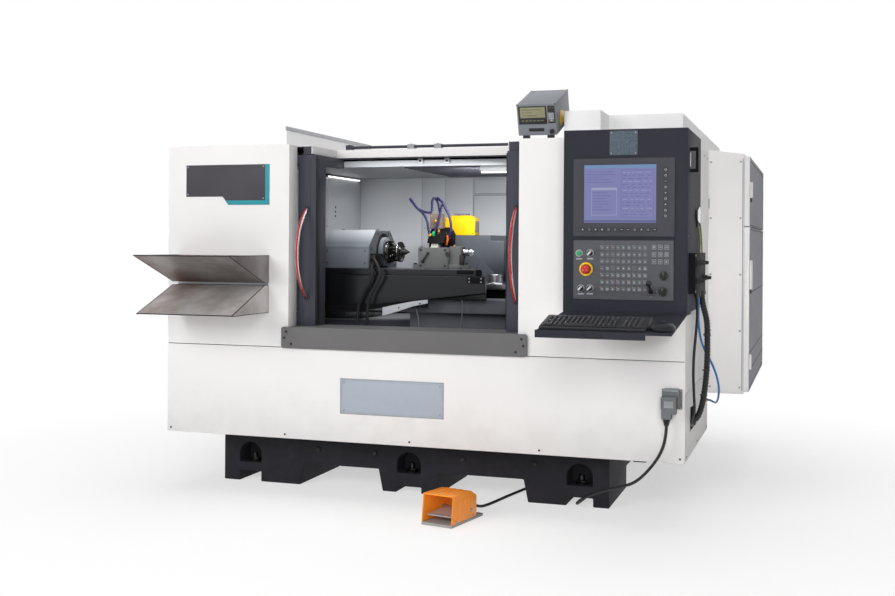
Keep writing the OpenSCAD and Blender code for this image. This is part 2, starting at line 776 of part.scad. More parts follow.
module electrical_cabinet() at_machine() color(panel_color) {
    border = 30;
    difference() {
        along_y(cabinet_y, body_d) cabinet_outline(0);
        along_y(cabinet_y + sheet_t, body_d - sheet_t) cabinet_outline(sheet_t);
        box([cabinet_x1 - border, cabinet_y + border, cabinet_z0 + border],
            [cabinet_x1 + cut, body_d - border, cabinet_seam_z - border]);
        box([cabinet_x1 - border, cabinet_y + border, cabinet_seam_z + border],
            [cabinet_x1 + cut, body_d - border, cabinet_low - border]);
    }
    for (z = concat(knuckles(lower_door_z0, lower_door_z1), knuckles(upper_door_z0, upper_door_z1)))
        cabinet_knuckle(z);
}

module cabinet_cover() at_machine() color(panel_color)
    box([body_w + 2, cabinet_y - sheet_t, cabinet_z0 + 12], [cabinet_x1 - 2, cabinet_y, cabinet_low - 12]);

// Door panel, open behind the hinge, with its knuckles and a handle plate
module cabinet_door(z0, z1, handle_z) color(panel_color) {
    panel_y1 = hinge_y - hinge_r - 2;
    recess_d = 8;
    recess_y0 = cabinet_door_y0 + 30;
    recess_w = 36;
    handle_margin = [8, 6];
    difference() {
        union() {
            box([cabinet_door_x0, cabinet_door_y0, z0], [cabinet_door_x1, panel_y1, z1]);
            for (z = knuckles(z0, z1)) {
                translate([hinge_x, hinge_y, z]) cylinder(h = knuckle_h / 2, r = hinge_r);
                box([hinge_x - 2, panel_y1 - eps, z], [hinge_x + hinge_r, hinge_y, z + knuckle_h / 2]);
            }
        }
        for (z = knuckles(z0, z1))
            translate([hinge_x, hinge_y, z - cut])
                cylinder(h = knuckle_h / 2 + 2 * cut, r = hinge_pin_r + running_gap);
        // Recess for the swing handle
        box([cabinet_door_x1 - recess_d, recess_y0, handle_z[0]],
            [cabinet_door_x1 + cut, recess_y0 + recess_w, handle_z[1]]);
    }
    box([cabinet_door_x1 - recess_d - eps, recess_y0 + handle_margin[0], handle_z[0] + handle_margin[1]],
        [cabinet_door_x1, recess_y0 + recess_w - handle_margin[0], handle_z[1] - handle_margin[1]]);
}

module cabinet_door_upper() at_machine() cabinet_door(upper_door_z0, upper_door_z1, upper_handle_z);
module cabinet_door_lower() at_machine() cabinet_door(lower_door_z0, lower_door_z1, lower_handle_z);

module drive_units() at_machine() color(frame_color) {
    margin = 60;
    plate_x = body_w + sheet_t;
    plate_x1 = plate_x + 5;
    plate_y0 = cabinet_y + margin;
    drive_pitch = 230;
    relay_pitch = 140;
    box([plate_x, plate_y0, cabinet_z0 + margin], [plate_x1, body_d - margin, cabinet_low - margin]);
    // Servo drives, relays under them, and the cable duct above
    translate([plate_x1 - eps, plate_y0 + margin, 0]) {
        for (i = [0:4])
            translate([0, i * drive_pitch, cabinet_seam_z - 278]) cube([70, 150, 240]);
        for (i = [0:7])
            translate([0, i * relay_pitch, cabinet_z0 + 242]) cube([45, 90, 110]);
        translate([0, 0, cabinet_seam_z + 82]) cube([60, 900, 90]);
    }
}

// ---- Console ----

module console_box() at_machine() color(frame_color) {
    control_places = concat([green_at, estop_at], knob_at, override_at);
    port_x1 = console_x1 + 28;
    port_y0 = face_y + 50;
    port_h = 170;
    loop_z0 = console_z0 + 588;
    loop_h = 104;
    loop_y0 = face_y + 80;
    loop_w = 22;
    loop_t = 10;
    loop_end_h = 14;
    loop_reach = 34;
    shaft_well = 20;
    shaft_well_r = 10;
    difference() {
        union() {
            box([console_x0, face_y, console_z0], [console_x1, console_back, console_top]);
            box([console_deep_x, console_back - eps, console_z0],
                [console_x1, console_deep_back, console_top]);
        }
        for (at = control_places)
            translate([console_x0 + at[0], 0, console_z0 + at[1]])
                rod_y(face_y - cut, face_y + shaft_well, shaft_well_r);
    }
    // Box of the cable ports on the side
    box([console_x1 - eps, port_y0, port_z0], [port_x1, console_deep_back - 50, port_z0 + port_h]);
    // Loop handle on the side
    translate([console_x1, loop_y0, loop_z0]) {
        for (z = [0, loop_h - loop_end_h])
            translate([-eps, 0, z]) cube([loop_reach + eps, loop_w, loop_end_h]);
        translate([loop_reach - loop_t, 0, 0]) cube([loop_t, loop_w, loop_h]);
    }
}

module screen_bezel() at_machine() color(dark_color) {
    under_key = [20, key_h + eps, 16];
    under_pitch = 27.5;
    side_key = [18, key_h + eps, 15];
    side_pitch = 24;
    difference() {
        box([bezel_x0, plate_y, bezel_z0], [bezel_x1, face_y, bezel_z1]);
        box([screen_x0, plate_y - cut, screen_z0], [screen_x1, face_y + cut, screen_z1]);
    }
    for (i = [0:11])
        translate([screen_x0 - 14 + i * under_pitch, plate_y - key_h, bezel_z0 + 20]) cube(under_key);
    for (i = [0:8])
        translate([screen_x1 + 30, plate_y - key_h, screen_z0 + 20 + i * side_pitch]) cube(side_key);
}

module screen() at_machine() color("lightsteelblue")
    box([screen_x0, face_y - plate_t / 2, screen_z0], [screen_x1, face_y, screen_z1]);

// Bores for the shafts of the controls
module control_bores() {
    shaft_bore = control_shaft_r + running_gap;
    for (at = concat([green_at], knob_at, override_at))
        translate([console_x0 + at[0], 0, console_z0 + at[1]])
            rod_y(plate_y - cut, face_y + cut, shaft_bore);
    translate([console_x0 + estop_at[0], 0, console_z0 + estop_at[1]])
        rod_y(plate_y - cut, face_y + cut, 2 * control_shaft_r + running_gap);
}

module control_panel() at_machine() {
    color(dark_color) difference() {
        box([panel_x0, plate_y, panel_z0], [panel_x1, face_y, panel_z1]);
        control_bores();
    }
    // Fork that holds the jog lever's cross pin
    color(dark_color) translate([console_x0 + jog_at[0], plate_y, console_z0 + jog_at[1]]) difference() {
        for (s = [-1, 1])
            translate([s * (jog_ball_r + 3), 0, 0]) box([-2, -jog_out - 6, -6], [2, eps, 6]);
        translate([0, -jog_out, 0]) rod_x(-2 * jog_ball_r, 2 * jog_ball_r, jog_pin_r + running_gap);
    }
    // Rows of membrane keys
    key_pitch = [22.5, 29];
    wide_pitch = [26, 30];
    color("lightgray") {
        for (row = [0:6], i = [0:8])
            translate([panel_x0 + 114, plate_y - key_h, panel_z0 + 34])
                translate([i * key_pitch[0], 0, row * key_pitch[1]]) cube([17, key_h + eps, 20]);
        for (row = [0:2], i = [0:2])
            translate([panel_x0 + 330, plate_y - key_h, panel_z0 + 150])
                translate([i * wide_pitch[0], 0, row * wide_pitch[1]]) cube([18, key_h + eps, 20]);
    }
}

// Puts its children on the panel at a control's place, with Y = 0 at the panel's face
module at_control(at) at_machine() translate([console_x0 + at[0], plate_y, console_z0 + at[1]]) children();

// Turning knob with a pointer grip, on a shaft in the panel
module pointer_knob(r, reach) {
    rod_y(-reach / 2, -rest_gap, r);
    box([-r * 0.35, -reach, -r * 0.95], [r * 0.35, -reach / 2 + eps, r * 0.95]);
    rod_y(-cut, plate_t + 6, control_shaft_r);
}

module green_button() at_control(green_at) color("limegreen") {
    rod_y(-13, -button_travel - rest_gap, 9);
    rod_y(-button_travel - 2, plate_t + 6, control_shaft_r);
}

module selector_knob() color("dimgray") pointer_knob(12, 24);
module selector_knob_1() at_control(knob_at[0]) selector_knob();
module selector_knob_2() at_control(knob_at[1]) selector_knob();
module selector_knob_3() at_control(knob_at[2]) selector_knob();

module estop_button() at_control(estop_at) color("red") {
    translate([0, -estop_travel - rest_gap, 0]) {
        rod_y(-8, 0, 14);
        rod_y(-20, -8 + eps, 20);
        rod_y(-cut, plate_t + 8, 2 * control_shaft_r);
    }
}

module jog_lever() at_control(jog_at) color("black") {
    lean = 60;
    stick_l = 70;
    translate([0, -jog_out, 0]) {
        sphere(jog_ball_r);
        rod_x(-jog_ball_r - 5, jog_ball_r + 5, jog_pin_r);
        rotate([lean, 0, 0]) cylinder(h = stick_l, r = 5);
        rotate([lean, 0, 0]) translate([0, 0, stick_l]) sphere(13);
    }
}

module override_knob() color("black") pointer_knob(16, 30);
module override_knob_upper() at_control(override_at[0]) override_knob();
module override_knob_lower() at_control(override_at[1]) override_knob();

module keyboard_shelf() at_machine() color(frame_color) {
    lip_z0 = shelf_front_top - 25;
    lip_z1 = shelf_front_top + 5;
    corner_cut = 97;
    slot_x = 193;
    slot_w = 76;
    slot_h = 10;
    along_x(console_x0, console_x1) polygon([
        [shelf_y0, shelf_front_top - shelf_t], [shelf_y0, shelf_front_top], [face_y, shelf_top],
        [face_y, console_z0], [0, console_z0], [0, console_z0 - shelf_t - 3], [face_y, shelf_top - shelf_t],
    ]);
    difference() {
        box([console_x0, shelf_y0 - lip_t, lip_z0], [console_x1 - corner_cut, shelf_y0 + eps, lip_z1]);
        translate([console_x0 + slot_x, 0, lip_z0 + 6]) along_y(shelf_y0 - 2 * lip_t, shelf_y0 + cut)
            round_rect(slot_w, slot_h, slot_h / 2 - 0.1);
    }
}

// Puts its children on the sloping shelf, with the origin on its front left corner
module on_shelf() at_machine()
    translate([console_x0, shelf_y0, shelf_front_top]) rotate([shelf_slope, 0, 0]) children();

module keyboard() on_shelf() color("black") {
    keyboard_w = 412;
    keyboard_d = 190;
    front_h = 12;
    rear_h = 30;
    slope_d = 168;
    key_pitch = 19;
    row_pitch = 21.85;
    key = [16, 17, 9];
    translate([8, 30, 0]) {
        along_x(0, keyboard_w)
            polygon([[0, 0], [0, front_h], [slope_d, rear_h], [keyboard_d, rear_h], [keyboard_d, 0]]);
        for (row = [0:5], i = [0:19])
            translate([14 + i * key_pitch, 16 + row * row_pitch, 0])
                rotate([atan((rear_h - front_h) / slope_d), 0, 0]) translate([0, 0, 9]) cube(key);
    }
}

module mouse() on_shelf() color("black") {
    ball_r = 55;
    ball_sink = 22;
    translate([475, 90, 0]) difference() {
        translate([0, 0, -ball_sink]) sphere(ball_r);
        translate([0, 0, -ball_r]) cube([3 * ball_r, 3 * ball_r, 2 * ball_r], center = true);
    }
}

module main_switch() at_machine() color(steel_color)
    translate([console_x1 + rest_gap, switch_y, switch_z]) {
        rod_x(0, 10, 24);
        box([8, -11, -35], [20, 11, 35]);
    }

// ---- Gauge on the roof ----

// Puts its children in the tilted frame of the gauge, origin at its lower front left corner
module on_gauge() at_machine() translate([gauge_x, gauge_y, gauge_z]) rotate([gauge_tilt, 0, 0]) children();

bail_pivot = [0, gauge_d - 40, 20];
bail_pivot_z = gauge_z + bail_pivot.y * sin(gauge_tilt) + bail_pivot.z * cos(gauge_tilt);
bail_pivot_y = gauge_y + bail_pivot.y * cos(gauge_tilt) - bail_pivot.z * sin(gauge_tilt);

module gauge_case() {
    window_x1 = gauge_w - 45;
    foot_w = 30;
    foot_inset = 18;
    on_gauge() color("slategray") difference() {
        cube([gauge_w, gauge_d, gauge_h]);
        // Shallow window and pivot holes
        box([10, -cut, 60], [window_x1, 3, gauge_h - 12]);
        translate([0, bail_pivot.y, bail_pivot.z]) rod_x(-cut, gauge_w + cut, bail_r + running_gap);
    }
    on_gauge() color("black") {
        translate([gauge_w - 22, 0, 18]) rod_y(-12, eps, 9);
        box([gauge_w - 36, -3, 62], [gauge_w - 10, eps, gauge_h - 40]);
    }
    // Rubber feet under the front edge
    at_machine() color("black")
        for (x = [gauge_x + foot_inset, gauge_x + gauge_w - foot_inset - foot_w])
            box([x, gauge_y + 6, body_h], [x + foot_w, gauge_y + 32, gauge_z + 6]);
}

module gauge_bail() at_machine() color(steel_color) {
    leg = bail_pivot_z - body_h - bail_r - rest_gap;
    out = 8;
    pin_l = 12;
    translate([gauge_x, bail_pivot_y, bail_pivot_z]) {
        rod_x(-out, pin_l, bail_r);
        rod_x(gauge_w - pin_l, gauge_w + out, bail_r);
        for (x = [-out, gauge_w + out])
            translate([x, 0, -leg]) cylinder(h = leg, r = bail_r);
        translate([0, 0, -leg]) rod_x(-out, gauge_w + out, bail_r);
        for (x = [-out, gauge_w + out], z = [0, -leg])
            translate([x, 0, z]) sphere(bail_r);
    }
}

// ---- Trays on the front ----

tray_x0 = 55;
tray_x1 = tray_x0 + tray_w;
tray_t = 3;
tray_flat = 45;
upper_z0 = 1012;
upper_z1 = 1141;
lower_z0 = 870;
lower_z1 = 998;

// End plates of the two trays, seen from the side
module upper_outline() polygon([
    [0, upper_z0], [0, upper_z1], [-upper_tray_reach, upper_z1], [-tray_flat, upper_z0],
]);
module lower_outline() polygon([
    [0, lower_z0], [0, lower_z1], [-tray_flat, lower_z1], [-lower_tray_reach, lower_z0],
]);

// The sheet of a tray: its outline without the same outline moved along by the sheet's thickness
module tray(x0, x1, rise) {
    difference() {
        along_x(x0, x1) children();
        translate([0, 0, rise]) along_x(x0 + tray_t, x1 - tray_t) intersection() {
            children();
            translate([-body_d - tray_t, 0]) square([body_d, body_h]);
        }
    }
}

module part_trays() at_machine() color("tan") {
    tray(tray_x0, tray_x1, tray_t) upper_outline();
    tray(tray_x0, tray_x1, -tray_t) lower_outline();
}

// ---- Table ----

module table_slide() at_machine() color("black") {
    apron_h = 148;
    apron_end_h = 81;
    apron_flat = 540;
    // Apron in front, shallower towards the right end
    along_y(slide_y0, carriage_y0) polygon([
        [slide_x0, slide_top - apron_h], [slide_x0 + apron_flat, slide_top - apron_h],
        [slide_x1, slide_top - apron_end_h], [slide_x1, slide_top], [slide_x0, slide_top],
    ]);
    translate([0, 0, way_top + rest_gap]) linear_extrude(slide_top - way_top - rest_gap) polygon([
        [slide_x0, carriage_y0 - eps], [slide_x1, carriage_y0 - eps],
        [slide_x1 - table_taper, carriage_y1], [slide_x0 + table_taper, carriage_y1],
    ]);
    // Pivot of the swivel table
    translate([table_pivot.x, table_pivot.y, slide_top - eps]) cylinder(h = pivot_h, r = pivot_r);
}

module swivel_table() at_machine() color(steel_color) {
    table_z0 = slide_top + rest_gap;
    chamfer = 25;
    slot_w = 14;
    slot_depth = 14;
    difference() {
        translate([0, 0, table_z0]) linear_extrude(table_top - table_z0) polygon([
            [table_x0, table_y0 + chamfer], [table_x0 + chamfer, table_y0],
            [table_x1 - chamfer, table_y0], [table_x1, table_y0 + chamfer],
            [table_x1 - table_taper, table_y1], [table_x0 + table_taper, table_y1],
        ]);
        // Clamping slot along the table
        box([table_x0 - cut, axis_y - slot_w / 2, table_top - slot_depth],
            [table_x1 + cut, axis_y + slot_w / 2, table_top + cut]);
        // Blind bore for the pivot
        translate([table_pivot.x, table_pivot.y, table_z0 - cut])
            cylinder(h = pivot_h + 2 * cut, r = pivot_r + running_gap);
    }
}

module workhead() at_machine() color("gray") {
    chamfer_y = 103;
    chamfer_z = 85;
    bore_l = 80;
    difference() {
        union() {
            along_x(workhead_x0, workhead_x1) polygon([
                [workhead_y0, table_top], [workhead_y1, table_top],
                [workhead_y1, workhead_top - chamfer_z], [workhead_y1 - chamfer_y, workhead_top],
                [workhead_y0 + chamfer_y - 8, workhead_top], [workhead_y0, workhead_top - chamfer_z],
            ]);
            // Nose ring and the box of the drive's connector
            translate([0, axis_y, axis_z]) rod_x(workhead_x1 - eps, workhead_x1 + nose_l, 75);
            box([workhead_x1 - eps, workhead_y0 + 12, table_top + 8],
                [workhead_x1 + 50, workhead_y0 + 74, axis_z - 10]);
        }
        translate([0, axis_y, axis_z])
            rod_x(workhead_x1 - bore_l, workhead_x1 + nose_l + cut, chuck_shaft_r + running_gap);
    }
}

module chuck() at_machine() color(steel_color) translate([workhead_x1 + nose_l + rest_gap, axis_y, axis_z]) {
    plate_x1 = 26;
    ring_x0 = 66;
    ring_x1 = 82;
    point_x0 = 104;
    point_r = 14;
    rod_x(-80, eps, chuck_shaft_r);
    rod_x(0, plate_x1, 58);
    for (i = [0:2])
        rotate([120 * i + 30, 0, 0]) translate([0, 40, 0]) rod_x(plate_x1 - eps, ring_x1 - 2, 8);
    rod_x(ring_x0, ring_x1, 52);
    rod_x(plate_x1 - eps, point_x0, point_r);
    translate([point_x0 - eps, 0, 0]) rotate([0, 90, 0]) cylinder(h = 22, r1 = point_r, r2 = 2);
}

module tailstock() at_machine() color("gray") {
    neck_x = tail_x1 - 60;
    difference() {
        union() {
            box([tail_x0, tail_front_y, table_top], [neck_x, axis_y + 40, axis_z + 24]);
            box([neck_x - eps, axis_y - 32, table_top], [tail_x1, axis_y + 32, axis_z + 30]);
            box([tail_x0 - 30, axis_y - 52, table_top], [tail_x1 + 24, axis_y + 32, table_top + 20]);
        }
        translate([0, axis_y, axis_z]) rod_x(tail_x0 - cut, tail_x1 + cut, barrel_r + running_gap);
        translate([lever_x, tail_front_y, lever_z]) rod_y(-cut, 30, control_shaft_r + running_gap);
    }
}

module tailstock_barrel() at_machine() color(steel_color) translate([0, axis_y, axis_z]) {
    point_l = 24;
    rod_x(barrel_x0 + point_l, barrel_x1, barrel_r);
    translate([barrel_x0, 0, 0]) rotate([0, 90, 0]) cylinder(h = point_l + eps, r1 = 2, r2 = barrel_r);
}

module tailstock_lever() at_machine() color("black")
    translate([lever_x, tail_front_y - rest_gap, lever_z]) {
        lean = 35;
        arm_l = 52;
        rod_y(-16, 0, 8);
        rod_y(-eps, 25, control_shaft_r);
        translate([0, -10, 0]) rotate([0, lean, 0]) {
            cylinder(h = arm_l, r = 4.5);
            translate([0, 0, arm_l]) sphere(7);
        }
    }

// ---- Grinding head ----

module wheelhead_slide() at_machine() color(frame_color) {
    side = 20;
    box([cross_x0 - side, head_pivot.y - 300, head_slide_z0],
        [cross_x1 + side, head_pivot.y + 200, head_slide_top]);
    translate([head_pivot.x, head_pivot.y, head_slide_top - eps])
        cylinder(h = head_z0 - head_slide_top - rest_gap, r = 150, $fn = 96);
}

module wheelhead() at_machine() color("gray") {
    head_y0 = 860;
    head_y1 = 1350;
    head_mid_x = head_x0 + 194;
    head_low_x = head_x0 + 275;
    head_x1 = head_x0 + 392;
    mid_drop = 29;
    low_drop = 75;
    drive_x = 1446;
    drive_y = 812;
    difference() {
        union() {
            box([head_x0, head_y0, head_z0], [head_mid_x, head_y1, head_top]);
            // Bracket under the motor box
            box([guard_x0 + 19, motor_y0 + 5, head_top - 70], [head_x0 + eps, head_y1 - 10, head_top]);
            box([head_mid_x - eps, head_y0, head_z0], [head_low_x, head_y1, head_top - mid_drop]);
            box([head_low_x - eps, head_y0 + 20, head_z0], [head_x1, head_y1, head_top - low_drop]);
            // Small drive on its plate at the front
            box([drive_x - 71, drive_y - 42, head_z0 - 34], [drive_x + 54, head_y0 + eps, head_z0]);
            translate([drive_x, drive_y, head_z0 - eps]) cylinder(h = 46, r = 40);
        }
        translate([0, wheel_y, axis_z]) rod_x(head_x0 - cut, head_x0 + 80, shaft_r + running_gap);
    }
}

module grinding_wheel() at_machine() translate([0, wheel_y, axis_z]) {
    color("gray") rod_x(wheel_x, wheel_x + wheel_w, wheel_r);
    color(steel_color) {
        rod_x(wheel_x - 8, wheel_x + wheel_w + 8, wheel_r * 0.45);
        rod_x(wheel_x - 20, wheel_x, 16);
        rod_x(wheel_x + wheel_w, head_x0 + 70, shaft_r);
    }
}

module wheel_guard() at_machine() {
    end_t = 4;
    mouth_y = wheel_y - 92;
    mouth_z0 = axis_z - 60;
    mouth_z1 = axis_z + 46;
    color("black") difference() {
        translate([0, wheel_y, axis_z]) rod_x(guard_x0, guard_x1, guard_r);
        translate([0, wheel_y, axis_z]) rod_x(guard_x0 + end_t, guard_x1 - end_t, guard_r - guard_t);
        translate([0, wheel_y, axis_z]) rod_x(guard_x0, guard_x1 + cut, shaft_r + 8);
        // Mouth where the wheel meets the work
        box([guard_x0 - cut, wheel_y - 2 * guard_r, mouth_z0], [guard_x1 + cut, mouth_y, mouth_z1]);
    }
    // Arm that carries the guard on the wheelhead
    color("black") box([guard_x1 - eps, wheel_y + 40, axis_z + 20], [head_x0, wheel_y + 110, axis_z + 75]);
    // Manifold for the coolant hoses
    color("rosybrown")
        box([guard_x0, wheel_y - 75, axis_z + guard_r - guard_t],
            [guard_x0 + 67, wheel_y - 20, manifold_top]);
}

module motor_box() at_machine() color("gold") {
    case_h = 98;
    lid_t = 12;
    motor_x0 = guard_x0 + 5;
    motor_x1 = motor_x0 + 178;
    motor_y1 = motor_y0 + 235;
    translate([0, 0, head_top]) {
        box([motor_x0, motor_y0, 0], [motor_x1, motor_y1, case_h]);
        box([motor_x0 + 24, motor_y0 + 25, case_h - eps], [motor_x1 - 24, motor_y1 - 20, case_h + lid_t]);
        box([motor_x0 + 54, motor_y0 + 55, case_h], [motor_x1 - 48, motor_y1 - 50, case_h + 22]);
    }
}

module coolant_hoses() at_machine() color("darkslateblue") {
    tube(hose_left_route, 2 * hose_r, 3, 8);
    tube(hose_loop_route, 2 * hose_r, 3, 8);
    tube(hose_right_route, 2 * hose_r, 3, 8);
    tube(hose_mid_route, 2 * hose_r, 3, 8);
}

module led_lamps() at_machine() color("white") {
    bar_h = 22;
    bar_w = 16;
    bar_l = 479;
    drop = 24;
    left_x = liner_x0 + sheet_t;
    rear_y = rear_wall_y - 34;
    right_x = liner_x1 - 204;
    front_y = ceiling_y + 125;
    box([left_x, rear_y - 498, ceiling_z - bar_h], [left_x + bar_w, rear_y, ceiling_z]);
    // Second bar, hung from the ceiling on two stems
    box([right_x - bar_l, front_y, ceiling_z - drop - bar_w], [right_x, front_y + 20, ceiling_z - drop]);
    for (x = [right_x - bar_l + 19, right_x - 30])
        box([x, front_y + 5, ceiling_z - drop - eps], [x + 12, front_y + 15, ceiling_z]);
}

// ---- Pedal and lines ----

// Puts its children in the pedal's frame: centre of its base, Y towards its rear
module at_pedal() at_machine() translate([pedal_at.x, pedal_at.y, 0]) rotate(pedal_turn) children();

module pedal_base() at_pedal() color("gray") {
    half = pedal_w / 2;
    cheek_t = 8;
    cheek_d = 14;
    switch_w = 30;
    box([-half, -pedal_d / 2, 0], [half, pedal_d / 2 + 60, pedal_base_h]);
    // Cheeks that hold the treadle's pin
    difference() {
        for (x = [-half + pedal_wall + 1, half - pedal_wall - 1 - cheek_t])
            box([x, treadle_pin_y - cheek_d, pedal_base_h - eps],
                [x + cheek_t, treadle_pin_y + cheek_d, treadle_pin_z + 10]);
        translate([0, treadle_pin_y, treadle_pin_z]) rod_x(-half, half, treadle_pin_r + running_gap);
    }
    // Switch box behind the treadle, where the cable ends
    box([-switch_w, treadle_pin_y + 24, pedal_base_h - eps],
        [switch_w, pedal_d / 2 - 8, treadle_pin_z + 20]);
}

module pedal_guard() at_pedal() color("orange") {
    half = pedal_w / 2;
    rear_h = 104;
    outer = [[-pedal_d / 2, pedal_base_h], [-pedal_d / 2 + 14, pedal_h], [pedal_d / 2 - 50, pedal_h - 4],
        [pedal_d / 2, rear_h], [pedal_d / 2, pedal_base_h]];
    inner = [[-pedal_d / 2 - cut, pedal_base_h - cut], [-pedal_d / 2 - cut, pedal_h - pedal_wall],
        [pedal_d / 2 - 52, pedal_h - 4 - pedal_wall], [pedal_d / 2 - pedal_wall, rear_h - pedal_wall],
        [pedal_d / 2 - pedal_wall, pedal_base_h - cut]];
    difference() {
        along_x(-half, half) polygon(outer);
        along_x(-half + pedal_wall, half - pedal_wall) polygon(inner);
        translate([0, 0, 44]) rod_y(pedal_d / 2 - 2 * pedal_wall, pedal_d / 2 + cut, cable_d / 2 + 2);
    }
}

module pedal_treadle() at_pedal() color("darkgray") {
    half = pedal_w / 2 - pedal_wall - 10;
    translate([0, treadle_pin_y, treadle_pin_z]) {
        rod_x(-half - 7, half + 7, treadle_pin_r);
        rod_x(-half, half, 8);
        along_x(-half + 2, half - 2) polygon([[-150, -8], [-150, -2], [0, 6], [0, -4]]);
    }
}

module pedal_cable() at_machine() color("black") tube(cable_route, cable_d, 2, 10);

module pedal_socket() at_machine() color("gray") {
    plate_x1 = body_w - 11;
    plate_x0 = plate_x1 - 86;
    plate_z0 = 505;
    plate_z1 = 590;
    plug_x0 = plate_x0 + 7;
    cable_end = cable_route[0];
    // Plate and housing on the skirt
    box([plate_x0, -8, plate_z0], [plate_x1, 0, plate_z1]);
    box([plate_x0 + 8, -44, plate_z0 + 12], [plate_x1 - 8, -8 + eps, plate_z1 - 6]);
    // Plug in front of it, with its boot
    box([plug_x0, -84, plate_z0 - 13], [plug_x0 + 62, -44 + eps, plate_z1 - 24]);
    box([plug_x0, -84, plate_z0 - 35], [plug_x0 + 42, -40, plate_z0 - 5]);
    hull() {
        translate([cable_end.x + 1, cable_end.y - 1, plate_z0 - 37]) cylinder(h = 4, r = 16, $fn = 24);
        translate([cable_end.x, cable_end.y, plate_z0 - 64]) cylinder(h = 2, r = 9, $fn = 24);
    }
}

module side_hoses() at_machine() color("black") {
    tube(conduit_route, conduit_d, 3, 12);
    tube(side_cable_route, side_cable_d, 2, 8);
    tube(air_route, air_d, 2, 8);
}

machine_bed();
levelling_screws();
lower_skirt();
left_housing();
right_housing();
inner_panels();
floor_pan();
roof_panel();
roof_covers();
door_sill();
left_door_frame();
left_door_window();
left_door_handle();
right_door_frame();
right_door_window();
right_door_handle();
electrical_cabinet();
cabinet_cover();
cabinet_door_upper();
cabinet_door_lower();
drive_units();
main_switch();
console_box();
screen_bezel();
screen();
control_panel();
green_button();
selector_knob_1();
selector_knob_2();
selector_knob_3();
estop_button();
jog_lever();
override_knob_upper();
override_knob_lower();
keyboard_shelf();
keyboard();
mouse();
gauge_case();
gauge_bail();
part_trays();
table_slide();
swivel_table();
workhead();
chuck();
tailstock();
tailstock_barrel();
tailstock_lever();
wheelhead_slide();
wheelhead();
grinding_wheel();
wheel_guard();
motor_box();
coolant_hoses();
led_lamps();
pedal_socket();
pedal_cable();
pedal_guard();
pedal_base();
pedal_treadle();
side_hoses();
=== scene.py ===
# %% [markdown]
# # A cylindrical grinder
#
# The real machine is a room of powder-coated sheet metal round a cast bed. Two glazed doors slide
# in front of the work table, a console hangs on the right corner, and a foot switch lies in front.
# The sizes and the moving parts were settled in CAD. This lesson dresses that model: it gives each
# part the finish of the real one, and adds the small pieces that are easier to shape in Blender.

# %% Load the CAD model
import math
import random
from itertools import product

import bmesh
import bpy
from mathutils import Matrix, Vector


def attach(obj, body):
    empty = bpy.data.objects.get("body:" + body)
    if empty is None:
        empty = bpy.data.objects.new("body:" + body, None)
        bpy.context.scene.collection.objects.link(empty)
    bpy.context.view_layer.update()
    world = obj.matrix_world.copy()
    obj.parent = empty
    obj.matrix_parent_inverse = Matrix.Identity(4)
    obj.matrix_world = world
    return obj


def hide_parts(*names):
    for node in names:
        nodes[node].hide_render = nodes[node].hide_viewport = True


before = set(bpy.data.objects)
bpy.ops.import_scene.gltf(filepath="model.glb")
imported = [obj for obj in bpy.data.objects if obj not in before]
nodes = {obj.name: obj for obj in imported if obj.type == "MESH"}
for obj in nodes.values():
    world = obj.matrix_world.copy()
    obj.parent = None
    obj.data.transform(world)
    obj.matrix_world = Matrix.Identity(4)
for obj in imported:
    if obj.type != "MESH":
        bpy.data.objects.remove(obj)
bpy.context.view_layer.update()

# %% [markdown]
# The drawings measure in millimetres, from the enclosure's left front corner on the floor. Blender
# measures in metres, from the middle of the footprint. One function turns the first into the
# second, so that every later cell can use the numbers of the drawing.

# %% Drawing coordinates
FOOTPRINT_MIDDLE = Vector((1359, 874, 0))


def at(x, y, z):
    """The point of the drawing, in metres from the middle of the footprint."""
    return (Vector((x, y, z)) - FOOTPRINT_MIDDLE) / 1000


def mm(length):
    """A length of the drawing in metres."""
    return length / 1000


# %% [markdown]
# ## The camera
#
# It stands at eye height, far to the right, and looks straight ahead rather than down: then the
# uprights stay upright. A small lens shift brings the machine to the middle of the frame.

# %% Camera
camera = bpy.data.objects.new("camera", bpy.data.cameras.new("camera"))
bpy.context.collection.objects.link(camera)
EYE = (1.698, -5.774, 1.197)
TO_THE_LEFT, LEVEL, ROLL = math.radians(18.2), math.radians(90), math.radians(0.36)
aim = Matrix.Rotation(TO_THE_LEFT, 4, "Z") @ Matrix.Rotation(LEVEL, 4, "X")
camera.matrix_world = Matrix.Translation(EYE) @ aim @ Matrix.Rotation(ROLL, 4, "Z")
camera.data.lens = 45.73
camera.data.shift_x = 0.0006
camera.data.shift_y = -0.0592
camera.data.clip_end = 100
bpy.context.scene.camera = camera
print("camera", [round(x, 3) for x in camera.location])

# %% [markdown]
# ## The foot switch's cable
#
# A rubber cable leaves the plug on the skirt, drops to the floor, makes a loose loop under the
# machine and comes out to the foot switch. A cable has one length, so it is drawn as one smooth
# curve through the points of its route, with a round section.

# %% Cable of the foot switch
CABLE_D = mm(13)
CABLE_ROUTE = [
    (2444, -61, 440), (2441, -62, 400), (2430, -61, 350), (2400, -45, 290), (2345, -15, 220),
    (2290, 25, 172), (2220, 65, 140), (2150, 110, 112), (2080, 150, 78), (2030, 185, 45),
    (2005, 230, 20), (1998, 290, 8), (2005, 370, 8), (2010, 460, 8), (2012, 560, 8),
    (2010, 660, 8), (1988, 752, 8), (1930, 806, 8), (1850, 812, 8), (1778, 766, 8),
    (1732, 686, 8), (1710, 590, 8), (1690, 490, 8), (1668, 390, 8), (1648, 290, 8),
    (1630, 190, 8), (1612, 110, 8), (1600, 56, 12), (1588, 10, 24), (1577, -30, 37),
    (1566, -68, 43), (1561, -92, 44), (1556, -115, 44),
]


